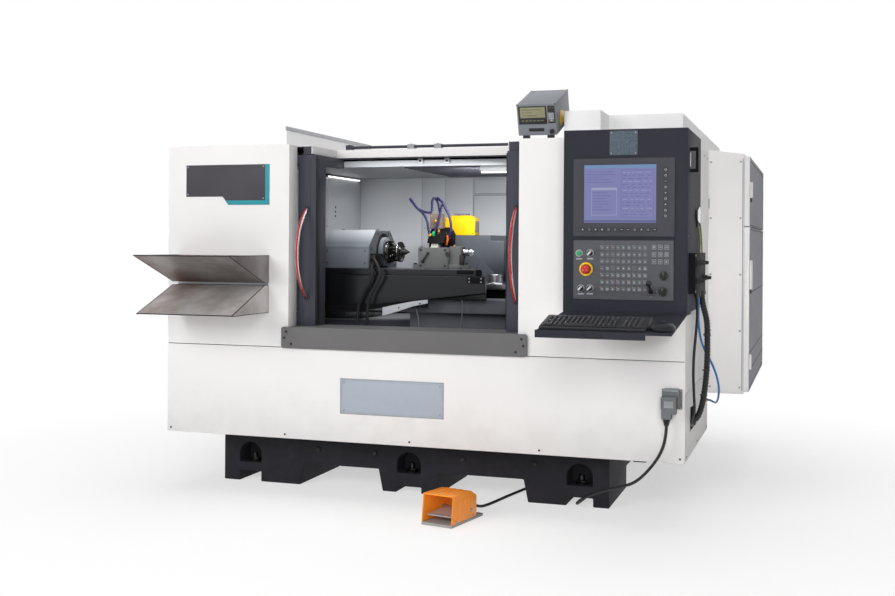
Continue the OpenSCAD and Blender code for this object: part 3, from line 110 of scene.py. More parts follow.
def smooth_line(route, steps=6):
    """Points on a smooth curve through the route, in drawing millimetres."""
    p = [Vector(point) for point in route]
    line = []
    for i in range(len(p) - 1):
        before, start, end, after = p[max(i - 1, 0)], p[i], p[i + 1], p[min(i + 2, len(p) - 1)]
        for k in range(steps):
            f = k / steps
            line.append((
                2 * start + (end - before) * f
                + (2 * before - 5 * start + 4 * end - after) * f**2
                + (3 * start - before - 3 * end + after) * f**3
            ) / 2)
    return line + [p[-1]]


def line_length(line):
    return mm(sum((b - a).length for a, b in zip(line, line[1:])))


def even_line(route, pitch):
    """The smooth line again, with its points a pitch apart."""
    fine = smooth_line(route, 24)
    total = sum((b - a).length for a, b in zip(fine, fine[1:]))
    count = max(2, round(total / pitch))
    line, walked, i = [fine[0]], 0.0, 0
    for k in range(1, count):
        target = total * k / count
        while walked + (fine[i + 1] - fine[i]).length < target:
            walked += (fine[i + 1] - fine[i]).length
            i += 1
        line.append(fine[i].lerp(fine[i + 1], (target - walked) / (fine[i + 1] - fine[i]).length))
    return line + [fine[-1]]


def hand_over(mesh, body, stands_for=None):
    """Makes a piece of the mesh, which rides on its body and may stand for a CAD node."""
    piece = bpy.data.objects.new(mesh.name, mesh)
    bpy.context.collection.objects.link(piece)
    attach(piece, body)
    if stands_for:
        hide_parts(stands_for)
    return piece


def tube_piece(name, line, diameter, body, finish=None, waists=(1.0,), sides=4):
    """A round tube along a line of points. Waists repeat along it, as shares of its diameter."""
    curve = bpy.data.curves.new(name, "CURVE")
    curve.dimensions = "3D"
    curve.bevel_depth = diameter / 2
    curve.bevel_resolution = sides
    curve.use_fill_caps = True
    spline = curve.splines.new("POLY")
    spline.points.add(len(line) - 1)
    for i, (point, place) in enumerate(zip(spline.points, line)):
        point.co = (*at(*place), 1)
        point.radius = waists[i % len(waists)]
    drawn = bpy.data.objects.new(name + "_line", curve)
    mesh = bpy.data.meshes.new_from_object(drawn)
    bpy.data.objects.remove(drawn)
    bpy.data.curves.remove(curve)
    mesh.name = name
    mesh.shade_smooth()
    if finish:
        mesh.materials.append(finish.material)
    return hand_over(mesh, body)


def declare_line(line, diameter):
    round(line_length(line), 3)


cable_line = smooth_line(CABLE_ROUTE)
pedal_cable = tube_piece(
    "foot_switch_cable", cable_line, CABLE_D, "machine", sides=6
)
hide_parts("pedal_cable")
declare_line(cable_line, CABLE_D)
print("foot switch cable", round(line_length(cable_line), 3), "m")

# %% [markdown]
# ## Lines on the right side
#
# Three lines hang from the port box on the console's side: a corrugated conduit, a rubber cable
# and an air tube. A conduit is a row of rings, so its tube is thinner at every second point. Real
# lines of this kind are tied to each other and never hang quite straight. Their points are
# measured out from the machine's right side.

# %% Lines on the right side
SIDE = 2514
CONDUIT_ROUTE = [
    (36, 300, 1000), (42, 306, 940), (58, 325, 860), (60, 335, 760), (58, 340, 660),
    (52, 330, 570), (42, 300, 490), (26, 282, 440), (4, 274, 418), (-18, 272, 410),
]
SIDE_CABLE_ROUTE = [
    (36, 90, 1000), (40, 84, 920), (38, 60, 830), (32, 40, 740), (30, 36, 650),
    (31, 60, 560), (28, 110, 490), (16, 160, 450), (2, 215, 420), (-18, 232, 408),
]
AIR_ROUTE = [
    (36, 180, 1000), (33, 205, 925), (28, 260, 860), (28, 325, 800), (38, 385, 740),
    (58, 425, 690), (78, 455, 640), (92, 480, 590), (97, 515, 540), (90, 575, 490),
    (74, 665, 455), (54, 780, 438), (26, 850, 438), (0, 868, 438),
]
side_lines = {}
for name, route, diameter, pitch, waists, slot in (
    ("side_conduit", CONDUIT_ROUTE, 28, 3.5, (1.0, 1.0, 0.86, 0.86), "hose_plastic"),
    ("side_cable", SIDE_CABLE_ROUTE, 12, 8, (1.0,), "cable_black"),
    ("air_tube", AIR_ROUTE, 10, 8, (1.0,), "hose_plastic"),
):
    line = even_line([(SIDE + out, y, z) for out, y, z in route], pitch)
    piece = tube_piece(name, line, mm(diameter), "machine", None, waists)
    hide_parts("side_hoses")
    declare_line(line, mm(diameter))
    side_lines[name] = piece
    print(name, round(line_length(line), 3), "m")

# %% [markdown]
# ## How the finishes are written
#
# A finish is a small graph of shader nodes. Drawn by hand it is a web of wires; written as sums it
# stays readable. The class below wraps one socket and gives it Python's operators, so that
# `grain * 0.3 + dust` adds the Math nodes by itself. Every other node comes from one method.

# %% Shader sums
class Wire:
    """An output socket whose operators add Math nodes."""

    def __init__(self, finish, socket):
        self.finish = finish
        self.socket = socket

    def sum(self, operation, *values):
        return self.finish.node("Math", {"operation": operation}, dict(enumerate(values)))

    def __add__(self, other):
        return self.sum("ADD", self, other)

    def __sub__(self, other):
        return self.sum("SUBTRACT", self, other)

    def __mul__(self, other):
        return self.sum("MULTIPLY", self, other)

    def __truediv__(self, other):
        return self.sum("DIVIDE", self, other)

    __radd__ = __add__


def linear(code):
    """The colour of a six-digit code, as the light values that a shader takes."""
    parts = [int(code[i : i + 2], 16) / 255 for i in (0, 2, 4)]
    return (*(c / 12.92 if c <= 0.04045 else ((c + 0.055) / 1.055) ** 2.4 for c in parts), 1)


def dimmed(color, share):
    return (*(c * share for c in color[:3]), 1)


class Finish:
    """A material whose colour, roughness and relief are set by sums."""

    def __init__(self, name, color, roughness=0.5, metallic=0.0):
        self.material = bpy.data.materials.new(name)
        self.material.use_nodes = True
        self.material.diffuse_color = linear(color)
        self.tree = self.material.node_tree
        self.surface = self.tree.nodes["Principled BSDF"]
        self.place = self.node("TexCoord", out="Object")
        self.set("Base Color", linear(color))
        self.set("Roughness", roughness)
        self.set("Metallic", metallic)

    def set(self, socket, value):
        self.plug(self.surface.inputs[socket], value)
        return self

    def plug(self, socket, value):
        if isinstance(value, Wire):
            self.tree.links.new(value.socket, socket)
        else:
            socket.default_value = value

    def node(self, kind, settings=None, sockets=None, out=0):
        """Adds a node: its settings first, then its sockets' values or links."""
        made = self.tree.nodes.new("ShaderNode" + kind)
        for key, value in (settings or {}).items():
            if key == "stops":
                while len(made.color_ramp.elements) < len(value):
                    made.color_ramp.elements.new(0.5)
                for element, (position, shade) in zip(made.color_ramp.elements, value):
                    element.position = position
                    element.color = shade if isinstance(shade, tuple) else (shade,) * 3 + (1,)
            else:
                setattr(made, key, value)
        for socket, value in (sockets or {}).items():
            self.plug(made.inputs[socket], value)
        return Wire(self, made.outputs[out])

    def stretched(self, *scale):
        return self.node("Mapping", None, {"Vector": self.place, "Scale": scale})

    def noise(self, scale, detail=3, rough=0.5, on=None):
        sockets = {"Vector": on or self.place, "Scale": scale, "Detail": detail, "Roughness": rough}
        return self.node("TexNoise", None, sockets)

    def ramp(self, value, *stops):
        return self.node("ValToRGB", {"stops": stops}, {"Fac": value})

    def mix(self, share, first, second):
        return self.node("Mix", {"data_type": "RGBA"}, {0: share, 6: first, 7: second}, out=2)

    def bump(self, height, depth):
        """Relief of that depth in millimetres, from a height between 0 and 1."""
        sockets = {"Height": height, "Distance": mm(depth), "Strength": 1.0}
        return self.set("Normal", self.node("Bump", None, sockets))

    def axis(self, name):
        return self.node("SeparateXYZ", None, {"Vector": self.place}, out=name)


# %% [markdown]
# ## Painted sheet metal
#
# The enclosure is powder coated. Powder melts into a skin with a fine orange-peel texture, a
# little glossier on its crests. A faint cloudiness and some dust near the floor keep the big flat
# panels from looking like paper. One function makes all the painted finishes, since they differ
# only in colour, gloss and how coarse the peel is.

# %% Painted finishes
def painted(name, code, roughness=0.42, peel=0.12, cloud=0.05, grime=0.0):
    finish = Finish(name, code, roughness)
    color = linear(code)
    cloudy = finish.noise(3.5, 4)
    shade = finish.mix(
        finish.ramp(cloudy, (0.3, 0.0), (0.75, 1.0)), color, dimmed(color, 1 - 2 * cloud)
    )
    if grime:
        height = finish.axis("Z")
        low = finish.ramp(height + finish.noise(9, 5) * 0.3, (0.30, 1.0), (0.62, 0.0))
        shade = finish.mix(low * grime, shade, linear("8C8880"))
    finish.set("Base Color", shade)
    finish.set("Roughness", roughness + finish.noise(60, 2) * 0.12 - 0.06)
    finish.bump(finish.noise(650, 2, 0.4), peel)
    return finish.set("Specular IOR Level", 0.12)


white_coat = painted("white powder coat", "EDEBEA", 0.5, 0.10, 0.02, 0.25)
cover_coat = painted("roof cover coat", "F1F1F2", 0.4, 0.10, 0.02)
lining = painted("lining coat", "DDE0E4", 0.3, 0.06, 0.03)
# The lining is painted dark below about 760 mm and darker again towards the ceiling: painted shade
# under the table and under the ceiling, with a lit band between.
lit_band = lining.ramp(lining.axis("Z") / 2, (0.38, 0.0), (0.46, 1.0), (0.60, 1.0), (0.80, 0.45))
behind = lining.ramp(lining.axis("Y"), (0.75, 0.0), (0.76, 1.0))
lined = lining.mix(lit_band, linear("4A4D53"), linear("DDE0E4"))
lining.set("Base Color", lining.mix(behind, lined, linear("EDEBEA")))
pan_coat = painted("pan coat", "B9BCC2", 0.35, 0.06, 0.08)
# The apron is painted dark below about 818 mm: painted shadow of the table above it.
apron_shadow_band = pan_coat.ramp(pan_coat.axis("Z") / 2, (0.409, 0.0), (0.413, 1.0))
pan_coat.set("Base Color", pan_coat.mix(apron_shadow_band, linear("3B3D45"), linear("C4C7CC")))
charcoal = painted("charcoal coat", "46464F", 0.45, 0.16, 0.04)
sill_coat = painted("sill coat", "6F6E6F", 0.5, 0.2, 0.04)
console_coat = painted("console coat", "33333B", 0.55, 0.14, 0.03).set("Specular IOR Level", 0.05)
guard_black = painted("black guard coat", "1B1B1D", 0.5, 0.12, 0.1).set("Specular IOR Level", 0.02)
head_coat = painted("head coat", "6E737A", 0.38, 0.12, 0.06)
# The crest of the work head's cover is painted lighter: a painted highlight.
top_highlight = head_coat.ramp(head_coat.axis("Z") / 2, (0.603, 0.0), (0.630, 0.75))
head_coat.set("Base Color", head_coat.mix(top_highlight, linear("6E737A"), linear("C3C7CC")))
tail_coat = painted("tailstock coat", "636464", 0.36, 0.12, 0.06)
gauge_coat = painted("gauge coat", "7F8389", 0.4, 0.12, 0.04)
yellow_coat = painted("yellow coat", "EABF18", 0.35, 0.08, 0.03)
drive_coat = painted("drive coat", "8E9294", 0.5, 0.1, 0.04)

# %% [markdown]
# ## The cast bed
#
# Grey iron is cast in sand, filled, and painted a dark grey. Its skin is rougher than sheet metal:
# broad waves from the filler, a sandy grain, and paint rubbed thin in places.

# %% Bed casting
cast_iron = Finish("painted casting", "2A292E", 0.6)
sand = cast_iron.noise(260, 4, 0.6)
waves = cast_iron.noise(14, 3)
dusty = cast_iron.ramp(cast_iron.noise(6, 6, 0.65), (0.45, 0.0), (0.8, 1.0))
cast_iron.set("Base Color", cast_iron.mix(dusty * 0.35, linear("28272C"), linear("434146")))
cast_iron.set("Roughness", 0.45 + sand * 0.3)
cast_iron.bump(sand * 0.35 + waves, 0.9)
cast_iron.set("Specular IOR Level", 0.15)

# %% [markdown]
# ## Bare metals
#
# Bare steel shows how it was worked. Ground steel has fine parallel lines, chromed bar is a
# mirror with a few hairlines, zinc is cloudy and dull, and blackened steel is nearly black with
# an oily sheen.

# %% Metal finishes
def metal(name, code, roughness, lines=None, spots=0.1, depth=0.02):
    finish = Finish(name, code, roughness, 1.0)
    color = linear(code)
    cloudy = finish.noise(25, 4)
    finish.set("Base Color", finish.mix(cloudy, color, dimmed(color, 1 - spots * 2)))
    if lines is None:
        marks = finish.noise(900, 2)
    else:
        marks = finish.noise(40, 3, 0.6, finish.stretched(*lines))
    finish.set("Roughness", roughness + marks * 0.16 - 0.08)
    finish.bump(marks, depth)
    return finish


chrome = metal("chromed bar", "E2E3E6", 0.12, None, 0.02, 0.004)
ground_steel = metal("ground steel", "A9ABAE", 0.32, (1, 60, 60), 0.08, 0.01)
table_steel = metal("ground table", "8E9094", 0.34, (1, 50, 50), 0.1, 0.01)
zinc = metal("zinc plate", "B9BBBE", 0.42, None, 0.2, 0.02)
black_steel = metal("blackened steel", "4A4846", 0.38, None, 0.25, 0.03)
dark_steel = metal("dark steel", "5C5E62", 0.4, None, 0.15, 0.03)
aluminium = metal("cast aluminium", "A2A4A6", 0.5, None, 0.12, 0.08)
brass = metal("brass fitting", "C9A24C", 0.3, None, 0.1, 0.02)

# %% [markdown]
# ## Plastics, rubber and glass
#
# Moulded plastic has a fine even grain and a dull shine. Rubber is duller still. The display is a
# lit glass, so it gives off its own light and needs no more than a little of it.

# %% Plastic, rubber and glass finishes
def moulded(name, code, roughness=0.45, grain=0.05, scale=900):
    finish = Finish(name, code, roughness)
    color = linear(code)
    cloudy = finish.noise(40, 2)
    finish.set("Base Color", finish.mix(cloudy, color, dimmed(color, 0.88)))
    finish.set("Roughness", roughness + finish.noise(120, 2) * 0.1 - 0.05)
    finish.bump(finish.noise(scale, 2), grain)
    return finish


black_plastic = moulded("black plastic", "1D1D1F", 0.38)
key_plastic = moulded("key plastic", "242427", 0.45)
grey_plastic = moulded("grey plastic", "7E8286", 0.48)
bezel_plastic = moulded("bezel plastic", "36363D", 0.5)
membrane = moulded("membrane", "4A4B50", 0.5, 0.03, 1400)
green_plastic = moulded("green plastic", "1FA65A", 0.25, 0.01)
red_plastic = moulded("red plastic", "BE201D", 0.28, 0.01)
yellow_plastic = moulded("yellow plastic", "F2C40F", 0.35, 0.02)
orange_plastic = moulded("orange plastic", "F08A1D", 0.4, 0.06)
hose_plastic = moulded("hose plastic", "150E4C", 0.3, 0.02)
orange_hose = moulded("orange hose plastic", "C8571B", 0.35, 0.02)
blue_tube = moulded("blue tube", "1F6FB8", 0.25, 0.01)
rubber = moulded("rubber", "19191B", 0.6, 0.06, 700)
lamp_white = moulded("lamp diffuser", "FFFFFF", 0.4, 0.01)
lamp_white.set("Emission Color", (1, 1, 1, 1)).set("Emission Strength", 1.6)
abrasive = moulded("abrasive", "B7B5AC", 0.9, 0.5, 1500)
window_glass = Finish("window", "F4F8FA", 0.03).set("Alpha", 0.1)
window_glass.set("Roughness", window_glass.noise(30, 3) * 0.05)
window_glass.material.surface_render_method = "BLENDED"

# %% [markdown]
# ## Giving the CAD nodes their finishes
#
# A CAD node keeps its shape; only its material slot is filled. The table says which finish each
# node has, so nothing is left in the default grey.

# %% Dress the CAD nodes
NODE_FINISHES = {
    white_coat: "lower_skirt left_housing right_housing roof_panel electrical_cabinet "
    "cabinet_cover cabinet_door_upper cabinet_door_lower",
    cover_coat: "roof_covers",
    lining: "inner_panels",
    pan_coat: "floor_pan",
    charcoal: "left_door_frame right_door_frame wheelhead_slide",
    sill_coat: "door_sill",
    console_coat: "console_box keyboard_shelf",
    bezel_plastic: "screen_bezel screen",
    membrane: "control_panel",
    cast_iron: "machine_bed",
    black_steel: "chuck levelling_screws",
    window_glass: "left_door_window right_door_window",
    chrome: "left_door_handle right_door_handle gauge_bail tailstock_barrel main_switch",
    drive_coat: "drive_units",
    green_plastic: "green_button",
    aluminium: "selector_knob_1 selector_knob_2 selector_knob_3 pedal_base pedal_treadle",
    red_plastic: "estop_button",
    black_plastic: "jog_lever override_knob_upper override_knob_lower keyboard mouse "
    "tailstock_lever",
    gauge_coat: "gauge_case",
    ground_steel: "part_trays",
    guard_black: "table_slide wheel_guard",
    table_steel: "swivel_table",
    head_coat: "workhead wheelhead",
    tail_coat: "tailstock",
    abrasive: "grinding_wheel",
    yellow_coat: "motor_box",
    hose_plastic: "coolant_hoses",
    lamp_white: "led_lamps",
    grey_plastic: "pedal_socket",
    rubber: "pedal_cable side_hoses",
    orange_plastic: "pedal_guard",
}
for finish, names in NODE_FINISHES.items():
    for name in names.split():
        mesh = nodes[name].data
        mesh.materials.clear()
        mesh.materials.append(finish.material)
bare = set(nodes) - {name for names in NODE_FINISHES.values() for name in names.split()}
for piece in (pedal_cable, side_lines["side_conduit"], side_lines["side_cable"]):
    piece.data.materials.append(rubber.material)
side_lines["air_tube"].data.materials.append(blue_tube.material)
print("nodes without a finish:", sorted(bare))

# %% [markdown]
# ## Tools for making pieces
#
# Every piece is drawn on an empty bench, in the drawing's millimetres. A block or a rod is a
# `create_` shape moved into place; its edges are bevelled at once, because a real edge always
# catches a line of light. At the end the mesh is turned into metres and rides on its body, and
# the bench is empty again for the next piece.

# %% Piece tools
TO_METRES = Matrix.Scale(0.001, 4) @ Matrix.Translation(-FOOTPRINT_MIDDLE)
FRONT, BACK, LEFT, RIGHT = (0, -1, 0), (0, 1, 0), (-1, 0, 0), (1, 0, 0)
UP, DOWN = (0, 0, 1), (0, 0, -1)
SHARP = math.radians(35)
bench = bmesh.new()
scratch = bpy.data.meshes.new("scratch")


def soften(part, edges, width, segments=2, clamp=True):
    """Rounds edges by that width in the part's own unit."""
    if width > 0:
        bmesh.ops.bevel(
            part, geom=edges, offset=width, affect="EDGES", segments=segments, profile=0.5,
            material=-1, clamp_overlap=clamp,
        )


def join(part, finish=0, turn=None):
    """Adds a finished part to the bench, with its finish and its last turn."""
    for face in part.faces:
        face.material_index = finish
    if turn:
        bmesh.ops.transform(part, matrix=turn, verts=part.verts)
    part.to_mesh(scratch)
    part.free()
    bench.from_mesh(scratch)


def block(low, high, edge=0.6, finish=0, turn=None, segments=2):
    """A box between two corners with rounded edges."""
    low, high = Vector(low), Vector(high)
    part = bmesh.new()
    size = Matrix.Diagonal((*(high - low), 1))
    bmesh.ops.create_cube(part, size=1, matrix=Matrix.Translation((low + high) / 2) @ size)
    soften(part, list(part.edges), min(edge, 0.45 * min(high - low)), segments)
    join(part, finish, turn)


def slab(low, high, edge=0.6, finish=0, turn=None):
    """A box too small for more than a plain chamfer."""
    block(low, high, edge, finish, turn, 1)


def row(count, step, low, high, edge, finish=0, turn=None, segments=1):
    """The same box several times, one step apart."""
    for i in range(count):
        shift = Vector(step) * i
        block(Vector(low) + shift, Vector(high) + shift, edge, finish, turn, segments)


def along(start, end, share=0.5):
    """The matrix that lays the Z axis on the line from start to end, from that share of it."""
    start, end = Vector(start), Vector(end)
    aim = (end - start).to_track_quat("Z", "Y").to_matrix().to_4x4()
    return Matrix.Translation(start.lerp(end, share)) @ aim


def rod(start, end, r, r_end=None, sides=24, edge=0.4, finish=0, turn=None):
    """A cylinder or cone between two points, with its rims rounded."""
    r_end = r if r_end is None else r_end
    depth = (Vector(end) - Vector(start)).length
    part = bmesh.new()
    bmesh.ops.create_cone(
        part, cap_ends=True, segments=sides, radius1=r, radius2=r_end, depth=depth,
        matrix=along(start, end),
    )
    rims = [rim for rim in part.edges if any(len(face.verts) > 4 for face in rim.link_faces)]
    soften(part, rims, min(edge, 0.3 * depth, 0.4 * min(r, r_end)))
    join(part, finish, turn)


def nut(start, end, r, edge=0.4, finish=0, turn=None):
    """A hexagon between two points."""
    rod(start, end, r, None, 6, edge, finish, turn)


def ball(centre, r, squash=(1, 1, 1), finish=0, turn=None):
    """A ball, or a lens when squashed."""
    part = bmesh.new()
    place = Matrix.Translation(centre) @ Matrix.Diagonal((*squash, 1))
    bmesh.ops.create_uvsphere(part, u_segments=20, v_segments=12, radius=r, matrix=place)
    join(part, finish, turn)


def spun(profile, start, end, sides=32, finish=0, turn=None):
    """A profile of (radius, height) points, spun round the line from start to end."""
    part = bmesh.new()
    verts = [part.verts.new((r, 0, h)) for r, h in profile]
    edges = [part.edges.new(pair) for pair in zip(verts, verts[1:])]
    bmesh.ops.spin(
        part, geom=verts + edges, cent=(0, 0, 0), axis=(0, 0, 1), angle=math.tau, steps=sides,
        use_merge=True,
    )
    bmesh.ops.remove_doubles(part, verts=part.verts, dist=0.001)
    bmesh.ops.recalc_face_normals(part, faces=part.faces)
    bmesh.ops.transform(part, matrix=along(start, end, 0), verts=part.verts)
    join(part, finish, turn)


def ring(start, end, r, hole, sides=32, finish=0, turn=None):
    """A washer with softened rims between two points."""
    h = (Vector(end) - Vector(start)).length
    c = min(0.5, h / 4, (r - hole) / 4)
    corners = [(hole, c), (hole + c, 0), (r - c, 0), (r, c)]
    corners += [(r, h - c), (r - c, h), (hole + c, h), (hole, h - c), (hole, c)]
    spun(corners, start, end, sides, finish, turn)


def plate(outline, axis, low, high, edge=0.5, finish=0, turn=None):
    """An outline in the plane across an axis, extruded along that axis from low to high."""
    part = bmesh.new()
    across = "XYZ".index(axis)
    corners = [(*point[:across], low, *point[across:]) for point in outline]
    face = part.faces.new([part.verts.new(corner) for corner in corners])
    for item in bmesh.ops.extrude_face_region(part, geom=[face])["geom"]:
        if isinstance(item, bmesh.types.BMVert):
            item.co[across] = high
    bmesh.ops.recalc_face_normals(part, faces=part.faces)
    soften(part, list(part.edges), min(edge, 0.4 * abs(high - low)))
    join(part, finish, turn)


def screw_head(centre, aim, r=5, finish=0, socket=True):
    """A cap screw: a low round head with a hexagon socket sunk in it."""
    centre, aim = Vector(centre), Vector(aim)
    rod(centre - aim * 0.2, centre + aim * r * 0.45, r, r * 0.9, 16, 0.3, finish)
    if socket:
        nut(centre + aim * r * 0.4, centre + aim * r * 0.5, r * 0.45, 0, finish)


def screws(xs, ys, zs, aim, r=5, finish=0, socket=True):
    """A cap screw at every place that the x, y and z values make; each may be one number."""
    values = [[v] if isinstance(v, (int, float)) else v for v in (xs, ys, zs)]
    for place in product(*values):
        screw_head(place, aim, r, finish, socket)


def turned(angle, axis, centre):
    """The matrix of a turn in degrees round a line through centre."""
    centre = Vector(centre)
    turning = Matrix.Rotation(math.radians(angle), 4, axis)
    return Matrix.Translation(centre) @ turning @ Matrix.Translation(-centre)


def add_piece(name, body, slot, *finishes, stands_for=None, shape=bench):
    """Makes a piece of what is on the bench, or of a shape that is in metres already."""
    if shape is bench:
        bmesh.ops.transform(shape, matrix=TO_METRES, verts=shape.verts)
    mesh = bpy.data.meshes.new(name)
    shape.to_mesh(mesh)
    shape.clear()
    for finish in finishes:
        mesh.materials.append(finish.material)
    mesh.shade_smooth()
    mesh.set_sharp_from_angle(angle=SHARP)
    return hand_over(mesh, body, stands_for)


# %% [markdown]
# ## Rounding the folded sheets
#
# A CAD node has mathematically sharp edges. Real sheet is folded round a radius, and a cast edge
# is rounder still. For the large parts a copy of the node is merged into one skin, its flat
# triangles are dissolved into whole faces, and its sharp edges are bevelled. The copy then stands
# for the node. Faces inside a named box can take a second finish, as a rail on a painted roof.

# %% Rounded copies of CAD nodes
def rounded(name, node, body, slot, finishes, width=1.5, segments=2, regions=()):
    shape = bmesh.new()
    shape.from_mesh(nodes[node].data)
    bmesh.ops.remove_doubles(shape, verts=shape.verts, dist=mm(0.02))
    bmesh.ops.dissolve_limit(
        shape, angle_limit=math.radians(1), verts=shape.verts, edges=shape.edges, delimit=set()
    )
    for face in shape.faces:
        middle = face.calc_center_median() * 1000 + FOOTPRINT_MIDDLE
        for low, high, index in regions:
            if all(a <= c <= b for a, c, b in zip(low, middle, high)):
                face.material_index = index
    sharp = [
        edge
        for edge in shape.edges
        if len(edge.link_faces) == 2 and edge.calc_face_angle(0) > SHARP
    ]
    soften(shape, sharp, mm(width), segments, clamp=False)
    return add_piece(name, body, slot, *finishes, stands_for=node, shape=shape)


WHITE_SHEETS = {
    "lower_skirt": "skirt_sheet",
    "left_housing": "left_housing_sheet",
    "right_housing": "right_housing_sheet",
    "electrical_cabinet": "cabinet_shell",
    "cabinet_cover": "cabinet_cover_sheet",
}
for node, name in WHITE_SHEETS.items():
    rounded(name, node, "machine", "white_sheet", [white_coat], 1.2)
bed_top_coat = painted("bed upper coat", "5C5E64", 0.45, 0.15, 0.1)
bed_top = [((0, 0, 640), (3000, 3000, 1200), 1)]
rounded("bed_casting_skin", "machine_bed", "machine", "bed_casting", [cast_iron, bed_top_coat],
        5, 3, bed_top)
rounded("keyboard_shelf_sheet", "keyboard_shelf", "machine", "console_paint", [console_coat], 0.8)
rounded("sill_sheet", "door_sill", "machine", "sill_paint", [sill_coat], 1.2)
# The end face is painted a darker grey than the rest of the same casting: painted shade.
head_end_shade = painted("work head end shade coat", "575B61", 0.4, 0.12, 0.06)
end_face = [((912, 300, 1000), (920, 850, 1300), 1)]
rounded("work_head_case", "workhead", "swivel_table", "head_grey", [head_coat, head_end_shade],
        4, 3, end_face)
rounded("tailstock_case", "tailstock", "swivel_table", "tail_grey", [tail_coat], 2.5, 3)
print("rounded copies of the large sheets and castings")

# %% [markdown]
# ## The doors
#
# Each door is a folded frame round a window. A black rubber profile seals the glass. The closing
# post carries a guard strip that is held by screws, and the grab handle: a chromed bow with a red
# plastic inlay along its front, so that it is seen at a glance. Door pieces ride on their door.

# %% Seals, guard strips and handle inlays
BOW_RADIUS, BOW_HALF, BOW_Y, BOW_Z = 261.2, 204, 242.2, 1155


def bow_line(x, steps=28):
    """Points along the front of the handle's bow, a little proud of its bar."""
    r = BOW_RADIUS + 4.4
    reach = math.asin(BOW_HALF / BOW_RADIUS)
    angles = [reach * (2 * k / steps - 1) for k in range(steps + 1)]
    return [(x, BOW_Y - r * math.cos(a), BOW_Z + r * math.sin(a)) for a in angles]


for body, (low, high), post, strip in (
    ("left_door", (240, 662), 707, (751.8, 758)),
    ("right_door", (1792, 2214), 1747, (1696, 1702.2)),
):
    rounded(f"{body}_folded_frame", f"{body}_frame", body, "dark_frame", [charcoal], 1.5)
    for x in (low, high - 7):
        block((x, 98, 859), (x + 7, 108, 1584), 2)
    for z in (859, 1577):
        block((low, 98, z), (high, 108, z + 7), 2)
    add_piece(f"{body}_seal", body, "black_plastic", rubber)

    for bottom, top in ((812, 936), (1374, 1618)):
        block((post - 17, 89.4, bottom), (post + 17, 91.2, top))
    screws(post, 89.4, (826, 880, 924, 1386, 1460, 1534, 1606), FRONT, 3.5)
    block((strip[0], 96, 812), (strip[1], 126, 1618), 2.5, 1)
    add_piece(f"{body}_post_strips", body, "dark_frame", charcoal, rubber)

    handle_feet = [((post - 40, 83, 900), (post + 40, 96, 1400), 1)]
    rounded(f"{body}_handle_bow", f"{body}_handle", body, "chrome_bar", [chrome, charcoal],
            0, 1, handle_feet)
    tube_piece(f"{body}_handle_inlay", bow_line(post), mm(12), body, red_plastic)
    for z in (BOW_Z - 213.5, BOW_Z + 213.5):
        ring((post, 91, z), (post, 88.5, z), 14, 8, 32, 1)
        rod((post, 88.6, z), (post, 80, z), 11, 9.5, 24, 1, 1)
    add_piece(f"{body}_handle_roses", body, "chrome_bar", chrome, black_steel)
print("two doors dressed")

# %% [markdown]
# ## The roof opening
#
# Behind the doors' top edges lies a double guide rail on two dark end clamps, held by two bright
# clamps in between. The roof beam in front of it is white. One CAD node holds them all, so its
# rounded copy takes its finish by region.

# %% Roof beam and rails
roof_regions = [
    ((150, 380, 1620), (2400, 440, 1631.9), 1),
    ((670, 94, 1620), (1760, 131, 1669), 1),
    ((760, 390, 1672.2), (1730, 450, 1710), 1),
    ((1104, 390, 1672.2), (1142, 450, 1710), 2),
    ((1244, 390, 1672.2), (1282, 450, 1710), 2),
]
rounded("roof_skin", "roof_panel", "machine", "white_sheet", [white_coat, charcoal, zinc], 1.2, 2,
        roof_regions)
rounded("roof_cover_sheets", "roof_covers", "machine", "white_sheet", [cover_coat], 1.5)
for x in (1160, 1300):
    block((x - 14, 433.5, 1602), (x + 14, 447, 1632), 2)
    block((x - 14, 418, 1628), (x + 14, 446, 1631.8), 1)
    rod((x, 432, 1614), (x, 449, 1614), 6, None, 20, 0.6, 1)
screws((789, 1705), (404, 430), 1698, UP, 5, 1)
screws((1123, 1263), (404, 430), 1696, UP, 5, 1)
add_piece("rail_clamps", "machine", "dark_frame", zinc, black_steel)
block((401, 470, 1790), (411, 1642, 1811), 1.5)
block((399.5, 474, 1671.5), (404.5, 1638, 1700))
screws(399.5, range(520, 1640, 180), 1686, LEFT, 4, 1)
add_piece("fin_edge", "machine", "dark_frame", zinc, zinc)
print("roof rails dressed")

# %% [markdown]
# ## The work room's walls
#
# The lining is bent from several sheets, so the rear wall shows upright seams, and an access panel
# is screwed on at the right. Each sheet is a thin block with rounded edges; the gap between two of
# them makes the seam. A dark vent lies in the ceiling, and three screws close the left wall.

# %% Lining sheets
seam_shade = painted("seam shade", "8A8E94", 0.5)
SHEET_ENDS = ((359, 758.8), (761.2, 905.8), (908.2, 1081.8), (1084.2, 1453.8), (1456.2, 1780))
for low, high in (*SHEET_ENDS, (1783, 2098)):
    block((low, 1598.4, 660), (high, 1600.2, 1596), 0.7)
screws((778, 890, 924, 1066), 1598.4, (700, 850, 1000, 1150, 1300, 1450, 1570), FRONT, 4, 1)
for seam in (760, 907, 1083, 1455):
    block((seam - 1.5, 1598.1, 656), (seam + 1.5, 1600, 1597), 0.3, 3)
block((1086, 1596.2, 694), (2096, 1598.6, 1498), 1, 3)
block((1091, 1593.5, 700), (2090, 1597, 1492), 1.2)
block((1088, 1596.6, 1502), (2096, 1598.6, 1592), 1, 3)
block((1092, 1595.4, 1506), (2090, 1597.5, 1588), 1)
screws(range(1110, 2090, 160), 1594, (716, 1476), FRONT, 4.5, 1)
for y0, y1 in ((216, 640), (646, 1110), (1116, 1598)):
    block((356.8, y0, 660), (358.6, y1, 1592))
